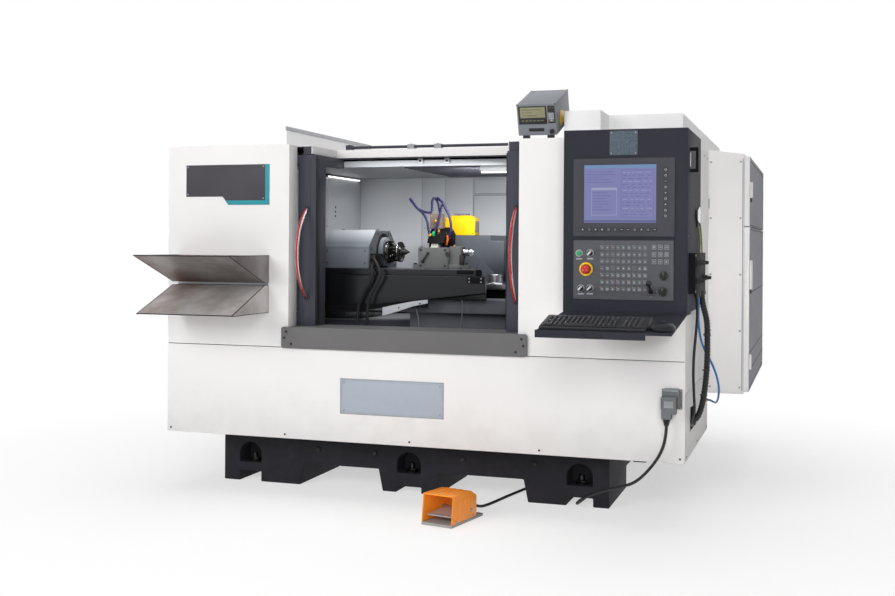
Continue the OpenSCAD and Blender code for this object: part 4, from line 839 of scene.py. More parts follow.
screws(358.6, 1214, (1362, 1388, 1414), RIGHT, 6, 2)
screws(358.6, (240, 620, 665, 1090, 1135, 1575), (700, 1000, 1300, 1570), RIGHT, 4, 1)
add_piece("lining_sheets", "machine", "inner_sheet", lining, zinc, black_steel, seam_shade)
block((1000, 640, 1594), (1960, 1420, 1599.8), 1.5)
row(12, (0, 60, 0), (1020, 670, 1591), (1940, 690, 1595), 1.5)
screws((1012, 1480, 1948), (655, 1030, 1405), 1594, DOWN, 4, 1)
add_piece("ceiling_vent", "machine", "dark_frame", charcoal, zinc)
print("work room lined")

# %% [markdown]
# ## The strip lamps
#
# A strip lamp is a slim diffuser in an aluminium channel with black end caps. The left lamp is
# held by a black triangular bracket at its front end.

# %% Strip lamps
block((361, 1075, 1584), (371, 1560, 1592), 3)
block((357.2, 1068, 1591), (374, 1566, 1599.6), 1.5, 1)
for y in (1068, 1558):
    block((357.4, y, 1582), (374, y + 8, 1600), 2, 2)
block((1426, 598, 1561.5), (1895, 612, 1568), 2.5)
block((1421, 595, 1567), (1900, 615, 1600), 1.5, 1)
for x in (1421, 1892):
    block((x, 594.8, 1560), (x + 8, 615.2, 1576.4), 2, 2)
lamps = add_piece("strip_lamps", "machine", "lamp_white", lamp_white, aluminium, black_plastic,
                  stands_for="led_lamps")
block((357, 1040, 1560), (363, 1072, 1598), 1, 0, turned(18, "X", (360, 1056, 1580)))
block((357, 1040, 1592), (396, 1072, 1598), 1)
add_piece("lamp_bracket", "machine", "black_plastic", black_plastic)
print("strip lamps", len(lamps.data.polygons), "faces")

# %% [markdown]
# ## The work head, the table and their covers
#
# The table is covered in glossy black enamel, with only its top ground bright. The work head is a
# grey casting with a black connector box on its front end, from which two rubber hoses hang down
# in front of the table.

# %% Work table
gloss_black = painted("gloss black enamel", "17181B", 0.24, 0.04, 0.05)
gloss_black.set("Specular IOR Level", 0.35)
slide_case = rounded("table_slide_case", "table_slide", "table_slide", "black_guard",
                     [gloss_black], 4, 3)
pivot = at(982.5, 490, 1046)
for vertex in slide_case.data.vertices:
    if vertex.co.z > pivot.z + mm(0.1):
        vertex.co.xy = pivot.xy + (vertex.co.xy - pivot.xy) * 0.8
table_top = [((400, 300, 1077.5), (1600, 700, 1079), 1)]
work_table = rounded("swivel_table_plate", "swivel_table", "swivel_table", "table_steel",
                     [gloss_black, table_steel], 2, 2, table_top)
underside = min(vertex.co.z for vertex in work_table.data.vertices)
for vertex in work_table.data.vertices:
    vertex.co.z = max(vertex.co.z, underside + mm(0.3))
block((1440, 326, 1012), (1524, 331, 1044), 2)
block((1386, 334, 1056), (1470, 341, 1074), 2)
screws((1452, 1512), 326, (1020, 1036), FRONT, 4, 1)
add_piece("table_end_plates", "table_slide", "black_guard", guard_black, zinc)
# The pale right-hand plate below the table stands for the lit top of the curved apron behind it:
# painted light. The left-hand plate is dark steel.
right_strip = [(1004, 887), (1075, 903), (1166, 921), (1240, 930), (1240, 912), (1166, 897),
               (1075, 866), (1004, 847)]
left_strip = [(600, 866), (888, 868), (1002, 885), (1002, 846), (888, 828), (600, 826)]
plate(right_strip, "Y", 331, 334, 0.6)
plate(left_strip, "Y", 331.4, 334, 0.6, 2)
block((600, 330.6, 862), (1002, 332, 872), 0.4, 1)
block((600, 334, 860), (1000, 337, 900), 0.6, 1)
block((1000, 334, 890), (1240, 337, 938), 0.6, 1)
for x in (640, 800, 960, 1090, 1200):
    screw_head((x, 331, 850 + max(0, x - 900) * 0.2), FRONT, 4, 1)
pale_strip_coat = painted("pale strip coat, painted light", "B9BCC1", 0.4, 0.06, 0.1)
add_piece("pale_strip_plates", "table_slide", "black_guard", pale_strip_coat, guard_black, dark_steel)
for x in (500, 1400, 1440, 1480):
    nut((x, 360, 1077), (x, 360, 1086), 8, 0.8)
    rod((x, 360, 1077), (x, 360, 1092), 5, None, 20, 0.5)
block((1386, 345, 1077.5), (1500, 362, 1083), 1)
add_piece("table_clamp_bolts", "swivel_table", "bright_steel", dark_steel)

# %% [markdown]
# Small parts of the work head: a flange ring with eight bolts, the screwed cover in front, three
# caps on top, and the connector box with its two glands and their hoses.

# %% Work head details
AXIS_Y, AXIS_Z = 565, 1160


def round_axis(angle, r, x):
    """A point at that angle and radius round the work axis."""
    return (x, AXIS_Y + r * math.cos(angle), AXIS_Z + r * math.sin(angle))


for y, z in ((400, 1176), (730, 1176), (400, 1092), (730, 1092), (490, 1252), (640, 1252)):
    screw_head((915, y, z), RIGHT, 6, 1)
ring((914.5, AXIS_Y, AXIS_Z), (917.5, AXIS_Y, AXIS_Z), 96, 60, 64, 1)
for i in range(8):
    screw_head(round_axis(math.tau * (i + 0.5) / 8, 86, 917), RIGHT, 5, 1)
block((474, 364.2, 1096), (911, 366.4, 1172), 0.8)
screws((490, 690, 895), 364.4, (1104, 1164), FRONT, 4, 1)
for x in (500, 692, 884):
    rod((x, AXIS_Y, 1271), (x, AXIS_Y, 1276), 9, None, 24, 1.2, 1)
add_piece("work_head_details", "swivel_table", "head_grey", head_coat, black_steel, ground_steel)

block((915.2, 377, 1085), (967, 441, 1152), 5, 0, None, 3)
for z in (1104, 1134):
    nut((941, 378, z), (941, 362, z), 13, 1, 1)
    rod((941, 364, z), (941, 352, z), 10, 8.5, 24, 1)
screws(967, (386, 432), (1094, 1143), RIGHT, 3.5, 1)
ring((966, 410, 1118), (969, 410, 1118), 20, 6, 32, 1)
add_piece("connector_box", "swivel_table", "black_guard", guard_black, dark_steel)

HOSE_ROUTES = {
    "head_hose_left": [
        (941, 352, 1104), (950, 322, 1086), (958, 306, 1050), (942, 300, 1004), (912, 302, 950),
        (890, 304, 895), (882, 305, 842), (879, 305, 790), (880, 306, 740), (884, 308, 700),
        (890, 312, 664),
    ],
    "head_hose_right": [
        (941, 352, 1134), (962, 322, 1124), (990, 300, 1092), (1006, 290, 1050), (988, 286, 1000),
        (958, 286, 945), (944, 288, 890), (940, 290, 842), (937, 292, 790), (936, 294, 740),
        (938, 298, 700), (942, 304, 664),
    ],
}


def hanging_line(name, route, pitch, diameter, body, finish, sides=3):
    """A hose or lead with both ends held, made in one go."""
    line = even_line(route, pitch)
    piece = tube_piece(name, line, mm(diameter), body, finish, sides=sides)
    declare_line(line, mm(diameter))
    print(name, round(line_length(line), 3), "m")


for name, route in HOSE_ROUTES.items():
    hanging_line(name, route, 6, 15, "swivel_table", rubber, 4)
lead_sleeve = moulded("lead sleeve", "5E6066", 0.5, 0.02)
SENSOR_ROUTES = {
    "sensor_lead_1": [
        (1163, 372, 905), (1166, 366, 890), (1176, 362, 862), (1184, 362, 820), (1186, 364, 780),
        (1190, 368, 720), (1200, 376, 662),
    ],
    "sensor_lead_2": [
        (1403, 372, 950), (1405, 366, 930), (1408, 362, 890), (1406, 362, 850), (1403, 364, 809),
        (1398, 368, 740), (1390, 376, 662),
    ],
}
for name, route in SENSOR_ROUTES.items():
    hanging_line(name, route, 6, 7, "table_slide", lead_sleeve)

# %% [markdown]
# ## The chuck
#
# The chuck is a turned body, so its outline is drawn once as radius and height and spun round the
# spindle's axis. Then come the parts that break the symmetry: the three driving rods with their
# nuts, the stepped jaws and the bolts in the faces.

# %% Chuck
start, ahead = (0, AXIS_Y, AXIS_Z), (1, AXIS_Y, AXIS_Z)
back_plate = [
    (0, 856), (20, 856), (20, 935.4), (50, 935.4), (54, 938), (54, 943), (58, 945), (58, 958),
    (56, 961), (30, 961), (30, 966), (14, 966), (14, 1001),
]
front_plate = [
    (14, 1000), (46, 1000), (48, 1002), (52, 1003), (52, 1015), (50, 1017), (26, 1017),
    (24, 1021), (16, 1021), (14, 1023), (14, 1039), (2, 1060.5), (0, 1061),
]
for outline in (back_plate, front_plate):
    spun(outline, start, ahead, 64)
for x0, x1, r in ((946, 951, 58.3), (1005, 1008, 52.3)):
    ring((x0, AXIS_Y, AXIS_Z), (x1, AXIS_Y, AXIS_Z), r, r - 4, 64, 1)
for i in range(3):
    a = math.radians(120 * i + 30)
    rod(round_axis(a, 40, 958), round_axis(a, 40, 1003), 8, None, 24, 0.6)
    nut(round_axis(a, 40, 960), round_axis(a, 40, 970), 11.5, 0.8)
    nut(round_axis(a, 40, 1016), round_axis(a, 40, 1022), 9.5, 0.8, 1)
    b = a + math.radians(60)
    jaw = Matrix.Translation((0, AXIS_Y, AXIS_Z)) @ Matrix.Rotation(b, 4, "X")
    for r0, r1, x1 in ((16, 50, 969), (16, 38, 978), (16, 27, 988)):
        block((960, r0, -9), (x1, r1, 9), 0.8, 0, jaw)
    screw_head(round_axis(b, 44, 969), RIGHT, 4.5, 1)
    screw_head(round_axis(b, 32, 978), RIGHT, 3.5, 1)
for i in range(6):
    screw_head(round_axis(math.radians(60 * i), 36, 1017), RIGHT, 4)
chuck = add_piece("driving_chuck", "chuck", "chuck_steel", black_steel, chrome, stands_for="chuck")
print("chuck", len(chuck.data.polygons), "faces")

# %% [markdown]
# ## The tailstock
#
# Its casting stays the CAD node's rounded copy. Added are the clamping screws, two rings round
# the quill, the lubricator, and the quill itself: a ground barrel with a threaded end, a knurled
# nut and a centre.

# %% Tailstock
screws((1140, 1270), 505, (1172, 1092), FRONT, 6)
ring((1285, 505.5, 1150), (1285, 500, 1150), 12, 5)
ring((1126.4, AXIS_Y, AXIS_Z), (1121, AXIS_Y, AXIS_Z), 30, 18.4, 48, 1)
ring((1345, AXIS_Y, AXIS_Z), (1351, AXIS_Y, AXIS_Z), 28, 18.4, 48)
for x, y in product((1106, 1358), (522, 588)):
    nut((x, y, 1097), (x, y, 1106), 9, 1)
block((1346, 500, 1098), (1366, 532, 1146), 2)
block((1350, 506, 1140), (1362, 560, 1152), 2, 0, turned(-20, "X", (1356, 532, 1144)))
rod((1300, AXIS_Y, 1189), (1300, AXIS_Y, 1197), 6, 4, 24, 1, 2)
add_piece("tailstock_details", "swivel_table", "tail_grey", black_steel, ground_steel, brass)

thread = [(17.8 if k % 2 else 15.6, 1355 + k * 1.6) for k in range(24)]
quill = [(0, 1129), (2, 1129.5), (13, 1150), (18, 1153), (18, 1352), (17, 1353), *thread,
         (16, 1394), (12, 1395), (12, 1402), (0, 1403)]
spun(quill, start, ahead, 40)
for k in range(18):
    a = math.tau * k / 18
    nut(round_axis(a, 16.6, 1372), round_axis(a, 16.6, 1384), 1.4, 0.2, 1)
add_piece("threaded_quill", "tailstock_barrel", "bright_steel", chrome, black_steel,
          stands_for="tailstock_barrel")
pivot = Vector((1153, 504.7, 1114))
forward = Vector(FRONT)
lever_angle = math.radians(35)
tip = pivot + forward * 10 + 52 * Vector((math.sin(lever_angle), 0, math.cos(lever_angle)))
rod(pivot, pivot + forward * 16, 8, None, 24, 1.2)
rod(pivot - forward * 24, pivot, 4, None, 16, 0.3)
rod(pivot + forward * 10, tip, 4.5, 3.2, 20)
ball(tip, 7)
add_piece("clamping_lever", "tailstock_lever", "black_plastic", black_plastic,
          stands_for="tailstock_lever")
print("tailstock dressed")

# %% [markdown]
# ## The grinding head
#
# The motor box is bright yellow enamel, the head behind it dark grey, and the small drive in front
# of it is bare steel. The wheel has a bright hub with its flange screws. Its guard is black, with
# brass and coloured fittings where the coolant hoses leave it.

# %% Grinding head
head_dark = painted("grinding head coat", "42454A", 0.34, 0.1, 0.06)
drive_region = [((1340, 700, 900), (1540, 862, 1048), 1)]
rounded("wheelhead_case", "wheelhead", "wheelhead", "head_grey", [head_dark, ground_steel], 4, 3,
        drive_region)
rounded("wheelhead_slide_case", "wheelhead_slide", "wheelhead_slide", "black_guard", [guard_black],
        3, 2)
rounded("wheel_guard_case", "wheel_guard", "wheelhead", "black_guard", [guard_black], 1.5)
hub = [((1000, 868, 1104), (1089.6, 982, 1216), 1), ((1130.4, 868, 1104), (1300, 982, 1216), 1)]
rounded("grinding_wheel_body", "grinding_wheel", "grinding_wheel", "abrasive", [abrasive, zinc],
        1.2, 2, hub)
block((1076, 1066, 1250.5), (1254, 1164, 1348), 6, 0, None, 3)
block((1098, 1082, 1347), (1232, 1150, 1360), 4, 0, None, 3)
block((1126, 1096, 1358), (1208, 1136, 1371), 3, 1, None, 3)
screws((1088, 1242), 1066, (1262, 1336), FRONT, 4, 1)
row(9, (0, 8, 0), (1253, 1080, 1268), (1255.5, 1084, 1330), 0.6, 1)
add_piece("motor_case", "wheelhead", "yellow_paint", yellow_coat, sill_coat, stands_for="motor_box")

block((1070.4, 849, 1283), (1139, 906, 1363), 3, 0, None, 3)
screws((1080, 1128), 849, (1292, 1352), FRONT, 3.5, 1)
nut((1104, 849, 1322), (1104, 838, 1322), 10, 1, 2)
for x, y, z, finish in ((1078, 833, 1246, 3), (1100, 821, 1256, 4), (1176, 837, 1238, 5),
                        (1124, 838, 1268, 2)):
    rod((x, y, z + 12), (x, y, z - 12), 9, 7, 8, 1, finish)
    rod((x, y, z - 4), (x, y + 26, z - 4), 6, None, 20, 0.6, 2)
    ball((x, y - 8, z), 4, (1.8, 0.6, 0.8), finish)
rod((1176, 836, 1232), (1168, 838, 1196), 7.5, 3, 24, 0.8, 5)
rod((1078, 832, 1238), (1082, 840, 1206), 7, 3, 24, 0.8, 3)
rod((976, 822, 1430), (964, 820, 1446), 8.5, 5, 24, 1, 6)
rod((1124, 836, 1440), (1112, 838, 1450), 8.5, 5, 24, 1, 6)
WHEEL_Y = 925
for i in range(7):
    a = math.tau * i / 7 + 0.4
    y, z = WHEEL_Y + 122 * math.cos(a), AXIS_Z + 122 * math.sin(a)
    if y > 840:
        screw_head((1161, y, z), RIGHT, 4, 1)
manifold = painted("manifold coat", "7B6A60", 0.45, 0.1, 0.08)
add_piece("coolant_fittings", "wheelhead", "black_guard", manifold, zinc, brass, yellow_plastic,
          green_plastic, orange_hose, hose_plastic)

# %% [markdown]
# A coolant hose of this kind is a chain of plastic cups, each clicked over the ball of the next.
# The tube's width swells and narrows every twelve millimetres, which gives the row of beads.

# %% Coolant hoses
BEADS = (0.76, 0.93, 1.0, 1.0, 0.9)
COOLANT_ROUTES = [
    [(976, 822, 1430), (1008, 822, 1392), (1040, 824, 1364), (1062, 826, 1322), (1070, 828, 1276),
     (1078, 832, 1234)],
    [(1012, 836, 1386), (1046, 838, 1372), (1080, 842, 1372), (1082, 846, 1400), (1082, 850, 1432),
     (1092, 854, 1447), (1106, 857, 1434), (1116, 862, 1400), (1120, 870, 1362)],
    [(1124, 836, 1440), (1144, 834, 1424), (1164, 832, 1390), (1184, 830, 1352), (1194, 830, 1306),
     (1190, 832, 1264), (1176, 836, 1228)],
    [(1140, 842, 1412), (1132, 840, 1370), (1120, 834, 1318), (1106, 826, 1272), (1100, 820, 1250)],
]
for i, route in enumerate(COOLANT_ROUTES):
    line = even_line(route, 2.6)
    hose = tube_piece(
        f"coolant_hose_{i + 1}", line, mm(14), "wheelhead", hose_plastic, BEADS
    )
    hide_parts("coolant_hoses")
print(len(COOLANT_ROUTES), "coolant hoses")

# %% [markdown]
# ## The console
#
# The console is a sheet-metal box with a screen and a key field let into its front. Rubber gaskets
# show as thin dark lines round both. On its right side sit a grab loop, the main switch and a
# black port box with four round connectors. A bare plate closes a spare opening above the screen.

# %% Console body
FACE = -156
port_and_loop = [
    ((2536.5, -110, 990), (2600, 340, 1180), 1),
    ((2536.5, -80, 1490), (2600, -40, 1620), 1),
]
rounded("console_shell", "console_box", "machine", "console_paint",
        [console_coat, guard_black], 2, 2, port_and_loop)


def frame_line(x0, z0, x1, z1, width, y0, y1, finish=0):
    """A rectangular line round an opening, made of four bars."""
    for z in (z0, z1 - width):
        slab((x0, y0, z), (x1, y1, z + width), 0.3, finish)
    for x in (x0, x1 - width):
        slab((x, y0, z0), (x + width, y1, z1), 0.3, finish)


speckled = Finish("speckled plate", "66727D", 0.35, 0.7)
flakes = speckled.node("TexVoronoi", None, {"Vector": speckled.place, "Scale": 260}, "Distance")
flecks = speckled.ramp(flakes, (0.1, 1.0), (0.5, 0.0))
speckled.set("Base Color", speckled.mix(flecks * 0.6, linear("4D5862"), linear("93A1AD")))
frame_line(2057, 1235, 2487, 1568, 4, -151.2, -149.5)
frame_line(2059, 970, 2484, 1224, 4, -151.2, -149.5)
block((2212, -152.5, 1578), (2329, -149.8, 1680), 0.6, 1)
screws((2220, 2321), -152.5, (1586, 1672), FRONT, 3.2, 2)
screws((2072, 2472), FACE, (1246, 1557), FRONT, 2.6, 3)
screws((2069, 2474), FACE, (980, 1214), FRONT, 2.6, 3)
block((2535.5, -66, 1532), (2538.5, -52, 1590), 0.5, 4)
for y, z in ((-40, 1128), (-40, 1052), (120, 1128), (240, 1060)):
    ring((2563.5, y, z), (2568, y, z), 17, 9)
    rod((2563, y, z), (2580, y, z), 12, None, 8, 1)
    rod((2579, y, z), (2598, y, z), 9, 7, 20, 1)
screws(2564, (-92, 322), (1010, 1160), RIGHT, 4, 2)
for y, z in ((60, 1500), (60, 1240), (-130, 1240), (-130, 960), (330, 1240), (330, 1600)):
    screw_head((2536, y, z), RIGHT, 4, 3)
block((2200, -650.4, 846), (2294, -647.6, 868), 1)
add_piece("console_trim", "machine", "black_plastic", rubber, speckled, zinc, dark_steel,
          white_coat)
print("console trimmed")

# %% [markdown]
# ## The display
#
# The lit display is a smooth glass. What it shows is kept general: a title bar, two windows and
# rows of short bars for lines of text. Each is a plate a fraction of a millimetre thick with its
# own dim glow, so the picture needs no image file.

# %% Display
def glowing(name, code, strength=0.62):
    finish = Finish(name, "202028", 0.12)
    finish.set("Emission Color", linear(code)).set("Emission Strength", strength)
    return finish.set("Specular IOR Level", 0.3)


display = glowing("display blue", "9094CC")
display_bar = glowing("display title", "7FA9D6")
display_pale = glowing("display pale", "B9BDE4")
display_dark = glowing("display dark", "6E72AA")
rows = random.Random(4)
GLASS_Y, PRINT_Y = -152.9, -153.4
block((2105, -153, 1295), (2408, -150, 1538), 0.4)
slab((2107, -153.3, 1524), (2406, GLASS_Y, 1536), 0.1, 1)
slab((2107, -153.3, 1297), (2406, GLASS_Y, 1306), 0.1, 3)
frame_line(2136, 1326, 2244, 1442, 2, -153.5, GLASS_Y, 2)
slab((2138, PRINT_Y, 1432), (2242, GLASS_Y, 1440), 0.1, 2)
frame_line(2262, 1316, 2398, 1516, 1.2, -153.5, GLASS_Y, 3)
for i in range(15):
    z = 1504 - i * 12.5
    x = 2268
    while x < 2380:
        length = rows.uniform(6, 26)
        slab((x, PRINT_Y, z), (min(x + length, 2392), GLASS_Y, z + 2.2), 0.05, 3 if i % 3 else 2)
        x += length + rows.uniform(6, 16)
for x, heights, shortest, longest in (
    (2116, range(1508, 1463, -11), 40, 128),
    (2144, range(1420, 1347, -12), 20, 84),
):
    for z in heights:
        slab((x, PRINT_Y, z), (x + rows.uniform(shortest, longest), GLASS_Y, z + 2), 0.05, 3)
screen = add_piece("lit_display", "machine", "display_glass", display, display_bar, display_pale,
                   display_dark, stands_for="screen")
key_faces = [((2000, -160, 900), (2600, -156.1, 1700), 1)]
rounded("display_frame", "screen_bezel", "machine", "bezel_plastic", [bezel_plastic, key_plastic],
        0.6, 2, key_faces)
print("display", len(screen.data.polygons), "faces")

# %% [markdown]
# ## Keys and their marks
#
# Every key carries a pale mark. The marks are general ones: a ring, a bar, a cross or an arrow, and
# a small lamp on some keys. They are thin raised shapes, as thick as screen-printed ink looks.

# %% Key marks
key_light = moulded("key print", "AEB2B3", 0.5, 0.01)
key_field = moulded("key field", "4C4D52", 0.5, 0.03, 1400)
raised_key = moulded("raised key", "5C5D62", 0.45, 0.03, 1200)
KEY_FACE = -158


def print_bar(x, z, half_width, half_height):
    slab((x - half_width, KEY_FACE - 0.3, z - half_height),
         (x + half_width, KEY_FACE, z + half_height), 0.1)


def key_mark(x, z, size, kind):
    """A small printed mark centred on a key: a ring, a bar, a cross, an arrow or two bars."""
    start, end = (x, KEY_FACE, z), (x, KEY_FACE - 0.3, z)
    if kind == 0:
        ring(start, end, size, size * 0.62, 12)
    elif kind == 1:
        print_bar(x, z, size, 0.8)
    elif kind == 2:
        print_bar(x, z, size, 0.7)
        print_bar(x, z, 0.7, size)
    elif kind == 3:
        rod(start, end, size, None, 3, 0)
    else:
        print_bar(x, z - size * 0.5, size, 0.7)
        print_bar(x, z + size * 0.5, size, 0.7)


marks = random.Random(11)
for i in range(12):
    key_mark(2101 + i * 27.5, 1266, 5, marks.randrange(5))
for i in range(9):
    key_mark(2447, 1322.5 + i * 24, 5, 0 if i % 2 else marks.randrange(5))
for level, i in product(range(7), range(9)):
    x, z = 2184.5 + i * 22.5, 1017 + level * 29
    if level == 3 and i in (2, 6):
        continue
    key_mark(x, z - 1, 4.2 if level > 3 else 5, marks.randrange(5))
    if level < 3 or level == 6:
        tint = marks.choice((0, 0, 0, 1, 1, 2))
        rod((x - 6, KEY_FACE, z + 6.5), (x - 6, KEY_FACE - 0.5, z + 6.5), 1.6, None, 8, 0, tint)
for z, x in product((1133, 1163, 1193), (2401, 2427, 2453)):
    frame_line(x - 8.4, z - 9.4, x + 8.4, z + 9.4, 0.8, KEY_FACE - 0.3, KEY_FACE + 0.2)
    key_mark(x, z, 4.5, marks.randrange(5))
add_piece("key_prints", "machine", "membrane", key_light, green_plastic, orange_plastic)
rounded("key_panel", "control_panel", "machine", "membrane", [key_field, raised_key], 0.5, 1,
        key_faces)
print("keys marked")

# %% [markdown]
# ## Buttons, knobs and levers
#
# Each control is turned, so it is a spun outline, with a grip added. The collars stay on the
# panel; the part that the hand moves rides on its own body. The dial rings carry plain ticks.

# %% Controls
PANEL_X, PANEL_Z = 2016, 920


def on_panel(x, z):
    """A point on the panel's face."""
    return Vector((PANEL_X + x, FACE, PANEL_Z + z))


START, STOP, JOG = on_panel(70, 246), on_panel(100, 179), on_panel(374, 89)
SELECTORS = [on_panel(117, 247), on_panel(78, 98), on_panel(117, 99)]
OVERRIDES = {"upper": on_panel(426, 156), "lower": on_panel(422, 90)}
STEM = ((0, -12), (4, -12))


def turned_out(place, profile, sides=40, finish=0):
    """A spun outline standing out of the panel. Heights are measured from the panel's face."""
    spun(profile, place, place + Vector(FRONT), sides, finish)


def from_place(place, low, high, edge=0.2, finish=0, turn=None, segments=1):
    """A box between two corners measured from a place."""
    block(place + Vector(low), place + Vector(high), edge, finish, turn, segments)


def dial(place, low, high, angles, edge, finish=0):
    """A small box repeated round a place, at each of the angles."""
    for angle in angles:
        spot = Matrix.Translation(place) @ Matrix.Rotation(math.radians(angle), 4, "Y")
        slab(low, high, edge, finish, spot)


for place in (START, *SELECTORS):
    turned_out(place, [(9.6, 0), (16, 0), (16, 1.6), (14, 3), (9.6, 3), (9.6, 0)])
    from_place(place, (-13, -0.5, -27), (13, 0.1, -20))
turned_out(STOP, [(15, 0), (29, 0), (29, 1.2), (28, 2), (15, 2), (15, 0)], 48, 1)
turned_out(STOP, [(15, 1.9), (21, 1.9), (21, 3), (15, 3), (15, 1.9)], 48, 2)
for place in OVERRIDES.values():
    turned_out(place, [(5, 0), (21, 0), (21, 0.4), (20.5, 0.6), (5, 0.6), (5, 0)], 48, 2)
    dial(place, (-0.5, -0.9, 17), (0.5, -0.4, 20), range(-150, 151, 25), 0.1, 3)
x, z = JOG.x, JOG.z
frame_line(x - 17, z - 17, x + 17, z + 17, 2, FACE - 1.2, FACE + 0.2, 2)
dial(JOG, (-0.8, -0.5, 19), (0.8, 0.1, 24), range(0, 360, 90), 0.1, 3)
add_piece("control_collars", "machine", "membrane", zinc, yellow_plastic, black_plastic, key_light)

turned_out(START, [*STEM, (4, 3.3), (9, 3.4), (9, 11), (8, 12.4), (0, 13)])
add_piece("start_button", "green_button", "green_plastic", green_plastic, stands_for="green_button")

turned_out(STOP, [(0, -14), (8, -14), (8, 5.4), (14, 5.4), (14, 13), (19, 14), (20, 16), (20, 19),
                  (18.5, 22.5), (12, 25), (0, 25.2)], 48)
for angle in (0, 120, 240):
    from_place(STOP, (-0.8, -25.6, 5), (0.8, -24.6, 12), 0.2, 1, turned(angle, "Y", STOP))
add_piece("stop_mushroom", "estop_button", "red_plastic", red_plastic, key_light,
          stands_for="estop_button")

for i, place in enumerate(SELECTORS):
    turned_out(place, [*STEM, (4, 0.3), (12, 0.4), (12, 9), (10.5, 11), (0, 11.6)], 40, 1)
    tilt = turned(40, "Y", place)
    from_place(place, (-4.2, -24, -10.5), (4.2, -10, 11.4), 1.6, 0, tilt, 3)
    from_place(place, (-0.7, -24.3, 3), (0.7, -23.7, 10), 0.2, 1, tilt)
    knob = f"selector_knob_{i + 1}"
    add_piece(f"selector_grip_{i + 1}", knob, "knob_plastic", chrome, black_plastic,
              stands_for=knob)

for name, place in OVERRIDES.items():
    turned_out(place, [*STEM, (4, 0.8), (16, 0.9), (16, 4), (13, 7), (12.6, 15), (0, 15.4)])
    from_place(place, (-5.2, -30, -14.6), (5.2, -14, 14.6), 2.4, 0, None, 3)
    from_place(place, (-0.8, -30.3, 4), (0.8, -29.6, 13.5), 0.2, 1)
    dial(place, (-0.7, -6.4, 14.6), (0.7, -1.2, 16), range(0, 360, 18), 0.3)
    knob = f"override_knob_{name}"
    add_piece(f"override_grip_{name}", knob, "knob_plastic", black_plastic, key_light,
              stands_for=knob)

pivot = JOG + 10 * Vector(FRONT)
pin_end = 14.5 * Vector(RIGHT)
lean = Matrix.Rotation(math.radians(60), 3, "X") @ Vector(UP)
ball(pivot, 9.5)
rod(pivot - pin_end, pivot + pin_end, 2.5, None, 16, 0.3, 1)
rod(pivot + lean * 6, pivot + lean * 15, 9, 6.4, 32, 1)
rod(pivot + lean * 12, pivot + lean * 64, 5, 4, 24, 0.4, 1)
grip = [(0, 57), (5, 57), (8, 59), (12.4, 66), (13, 71), (12, 76), (8, 81), (0, 83)]
spun(grip, pivot, pivot + lean)
add_piece("jog_stick", "jog_lever", "black_plastic", black_plastic, dark_steel,
          stands_for="jog_lever")
switch_base = [((2530, 140, 1290), (2546.6, 210, 1380), 1)]
rounded("main_switch_lever", "main_switch", "main_switch", "lever_metal", [chrome, black_plastic],
        1.5, 3, switch_base)
print("controls made")

# %% [markdown]
# ## Keyboard and mouse
#
# The shelf slopes a little to the front, so everything on it is drawn flat and turned as a whole.
# A keyboard is a shallow wedge with rows of caps; the caps narrow towards their tops. The long
# space bar and a few wide caps break the grid, and short pale marks stand for the legends.

# %% Keyboard and mouse
ON_SHELF = Matrix.Translation((2016, -650, 870)) @ Matrix.Rotation(math.atan2(47, 500), 4, "X")
key_print = moulded("legend print", "B9BBC0", 0.5, 0.01)


def key_cap(x, y, width, depth, base, mark=True):
    """A cap that narrows to its top, on the keyboard's slope."""
    part = bmesh.new()
    for vert in bmesh.ops.create_cube(part, size=1)["verts"]:
        vert.co = Vector((vert.co.x * width, vert.co.y * depth, vert.co.z * 9))
        if vert.co.z > 0:
            vert.co.x *= 1 - 4.4 / width
            vert.co.y *= 1 - 3.6 / depth
    soften(part, list(part.edges), 0.7, 1)
    slope = Matrix.Rotation(math.atan2(18, 168), 4, "X")
    place = Matrix.Translation((x + width / 2, y + depth / 2, base)) @ slope
    if mark:
        slab((-2.4, 1, 4.4), (0.6, 3.6, 4.75), 0.1, 1, ON_SHELF @ place)
    join(part, 0, ON_SHELF @ place)


outline = [(30, 0.3), (30, 11), (32, 12.6), (198, 30), (219, 30), (220, 0.3)]
plate(outline, "X", 8, 420, 1.5, 0, ON_SHELF)
slab((10, 42, 15), (418, 196, 16.2), 0.4, 0, ON_SHELF @ turned(6.1, "X", (0, 42, 12)))
WIDE = {(0, 4): 7, (0, 0): 2, (1, 12): 2, (2, 0): 2, (3, 13): 2}
NO_KEY = 15
for line in range(6):
    i = 0
    while i < 20:
        span = WIDE.get((line, i), 1)
        if i != NO_KEY:
            y = 46 + line * 21.85
            base = 12 + (y - 30) * 18 / 168 + 5.4
            key_cap(22 + i * 19, y, 16 + (span - 1) * 19, 17, base, span < 3)
        i += span
row(3, (12, 0, 0), (350, 204, 30), (355, 207, 30.5), 0.2, 2, ON_SHELF)
keyboard = add_piece("keyboard_caps", "machine", "black_plastic", key_plastic, key_print,
                     green_plastic, stands_for="keyboard")

mouse_shell = moulded("mouse shell", "131418", 0.3, 0.01)
mouse_shell.set("Specular IOR Level", 0.3)
dome = [(0, 0.2), (46, 0.2), (50, 3), (50.2, 8), (48, 15), (41, 23.5), (30, 29), (15, 32.2),
        (0, 33)]
spun(dome, (475, 90, 0), (475, 90, 1), 48, 0, ON_SHELF)
ring((475, 90, 8.2), (475, 90, 10.4), 50.4, 47, 48, 2, ON_SHELF)
block((474.2, 92, 24), (475.8, 138, 33.2), 0.5, 2, ON_SHELF)
rod((470.5, 108, 29), (479.5, 108, 29), 5.5, None, 24, 1, 2, ON_SHELF)
add_piece("mouse_shell", "machine", "black_plastic", mouse_shell, zinc, rubber, stands_for="mouse")
print("keyboard", len(keyboard.data.polygons), "faces")

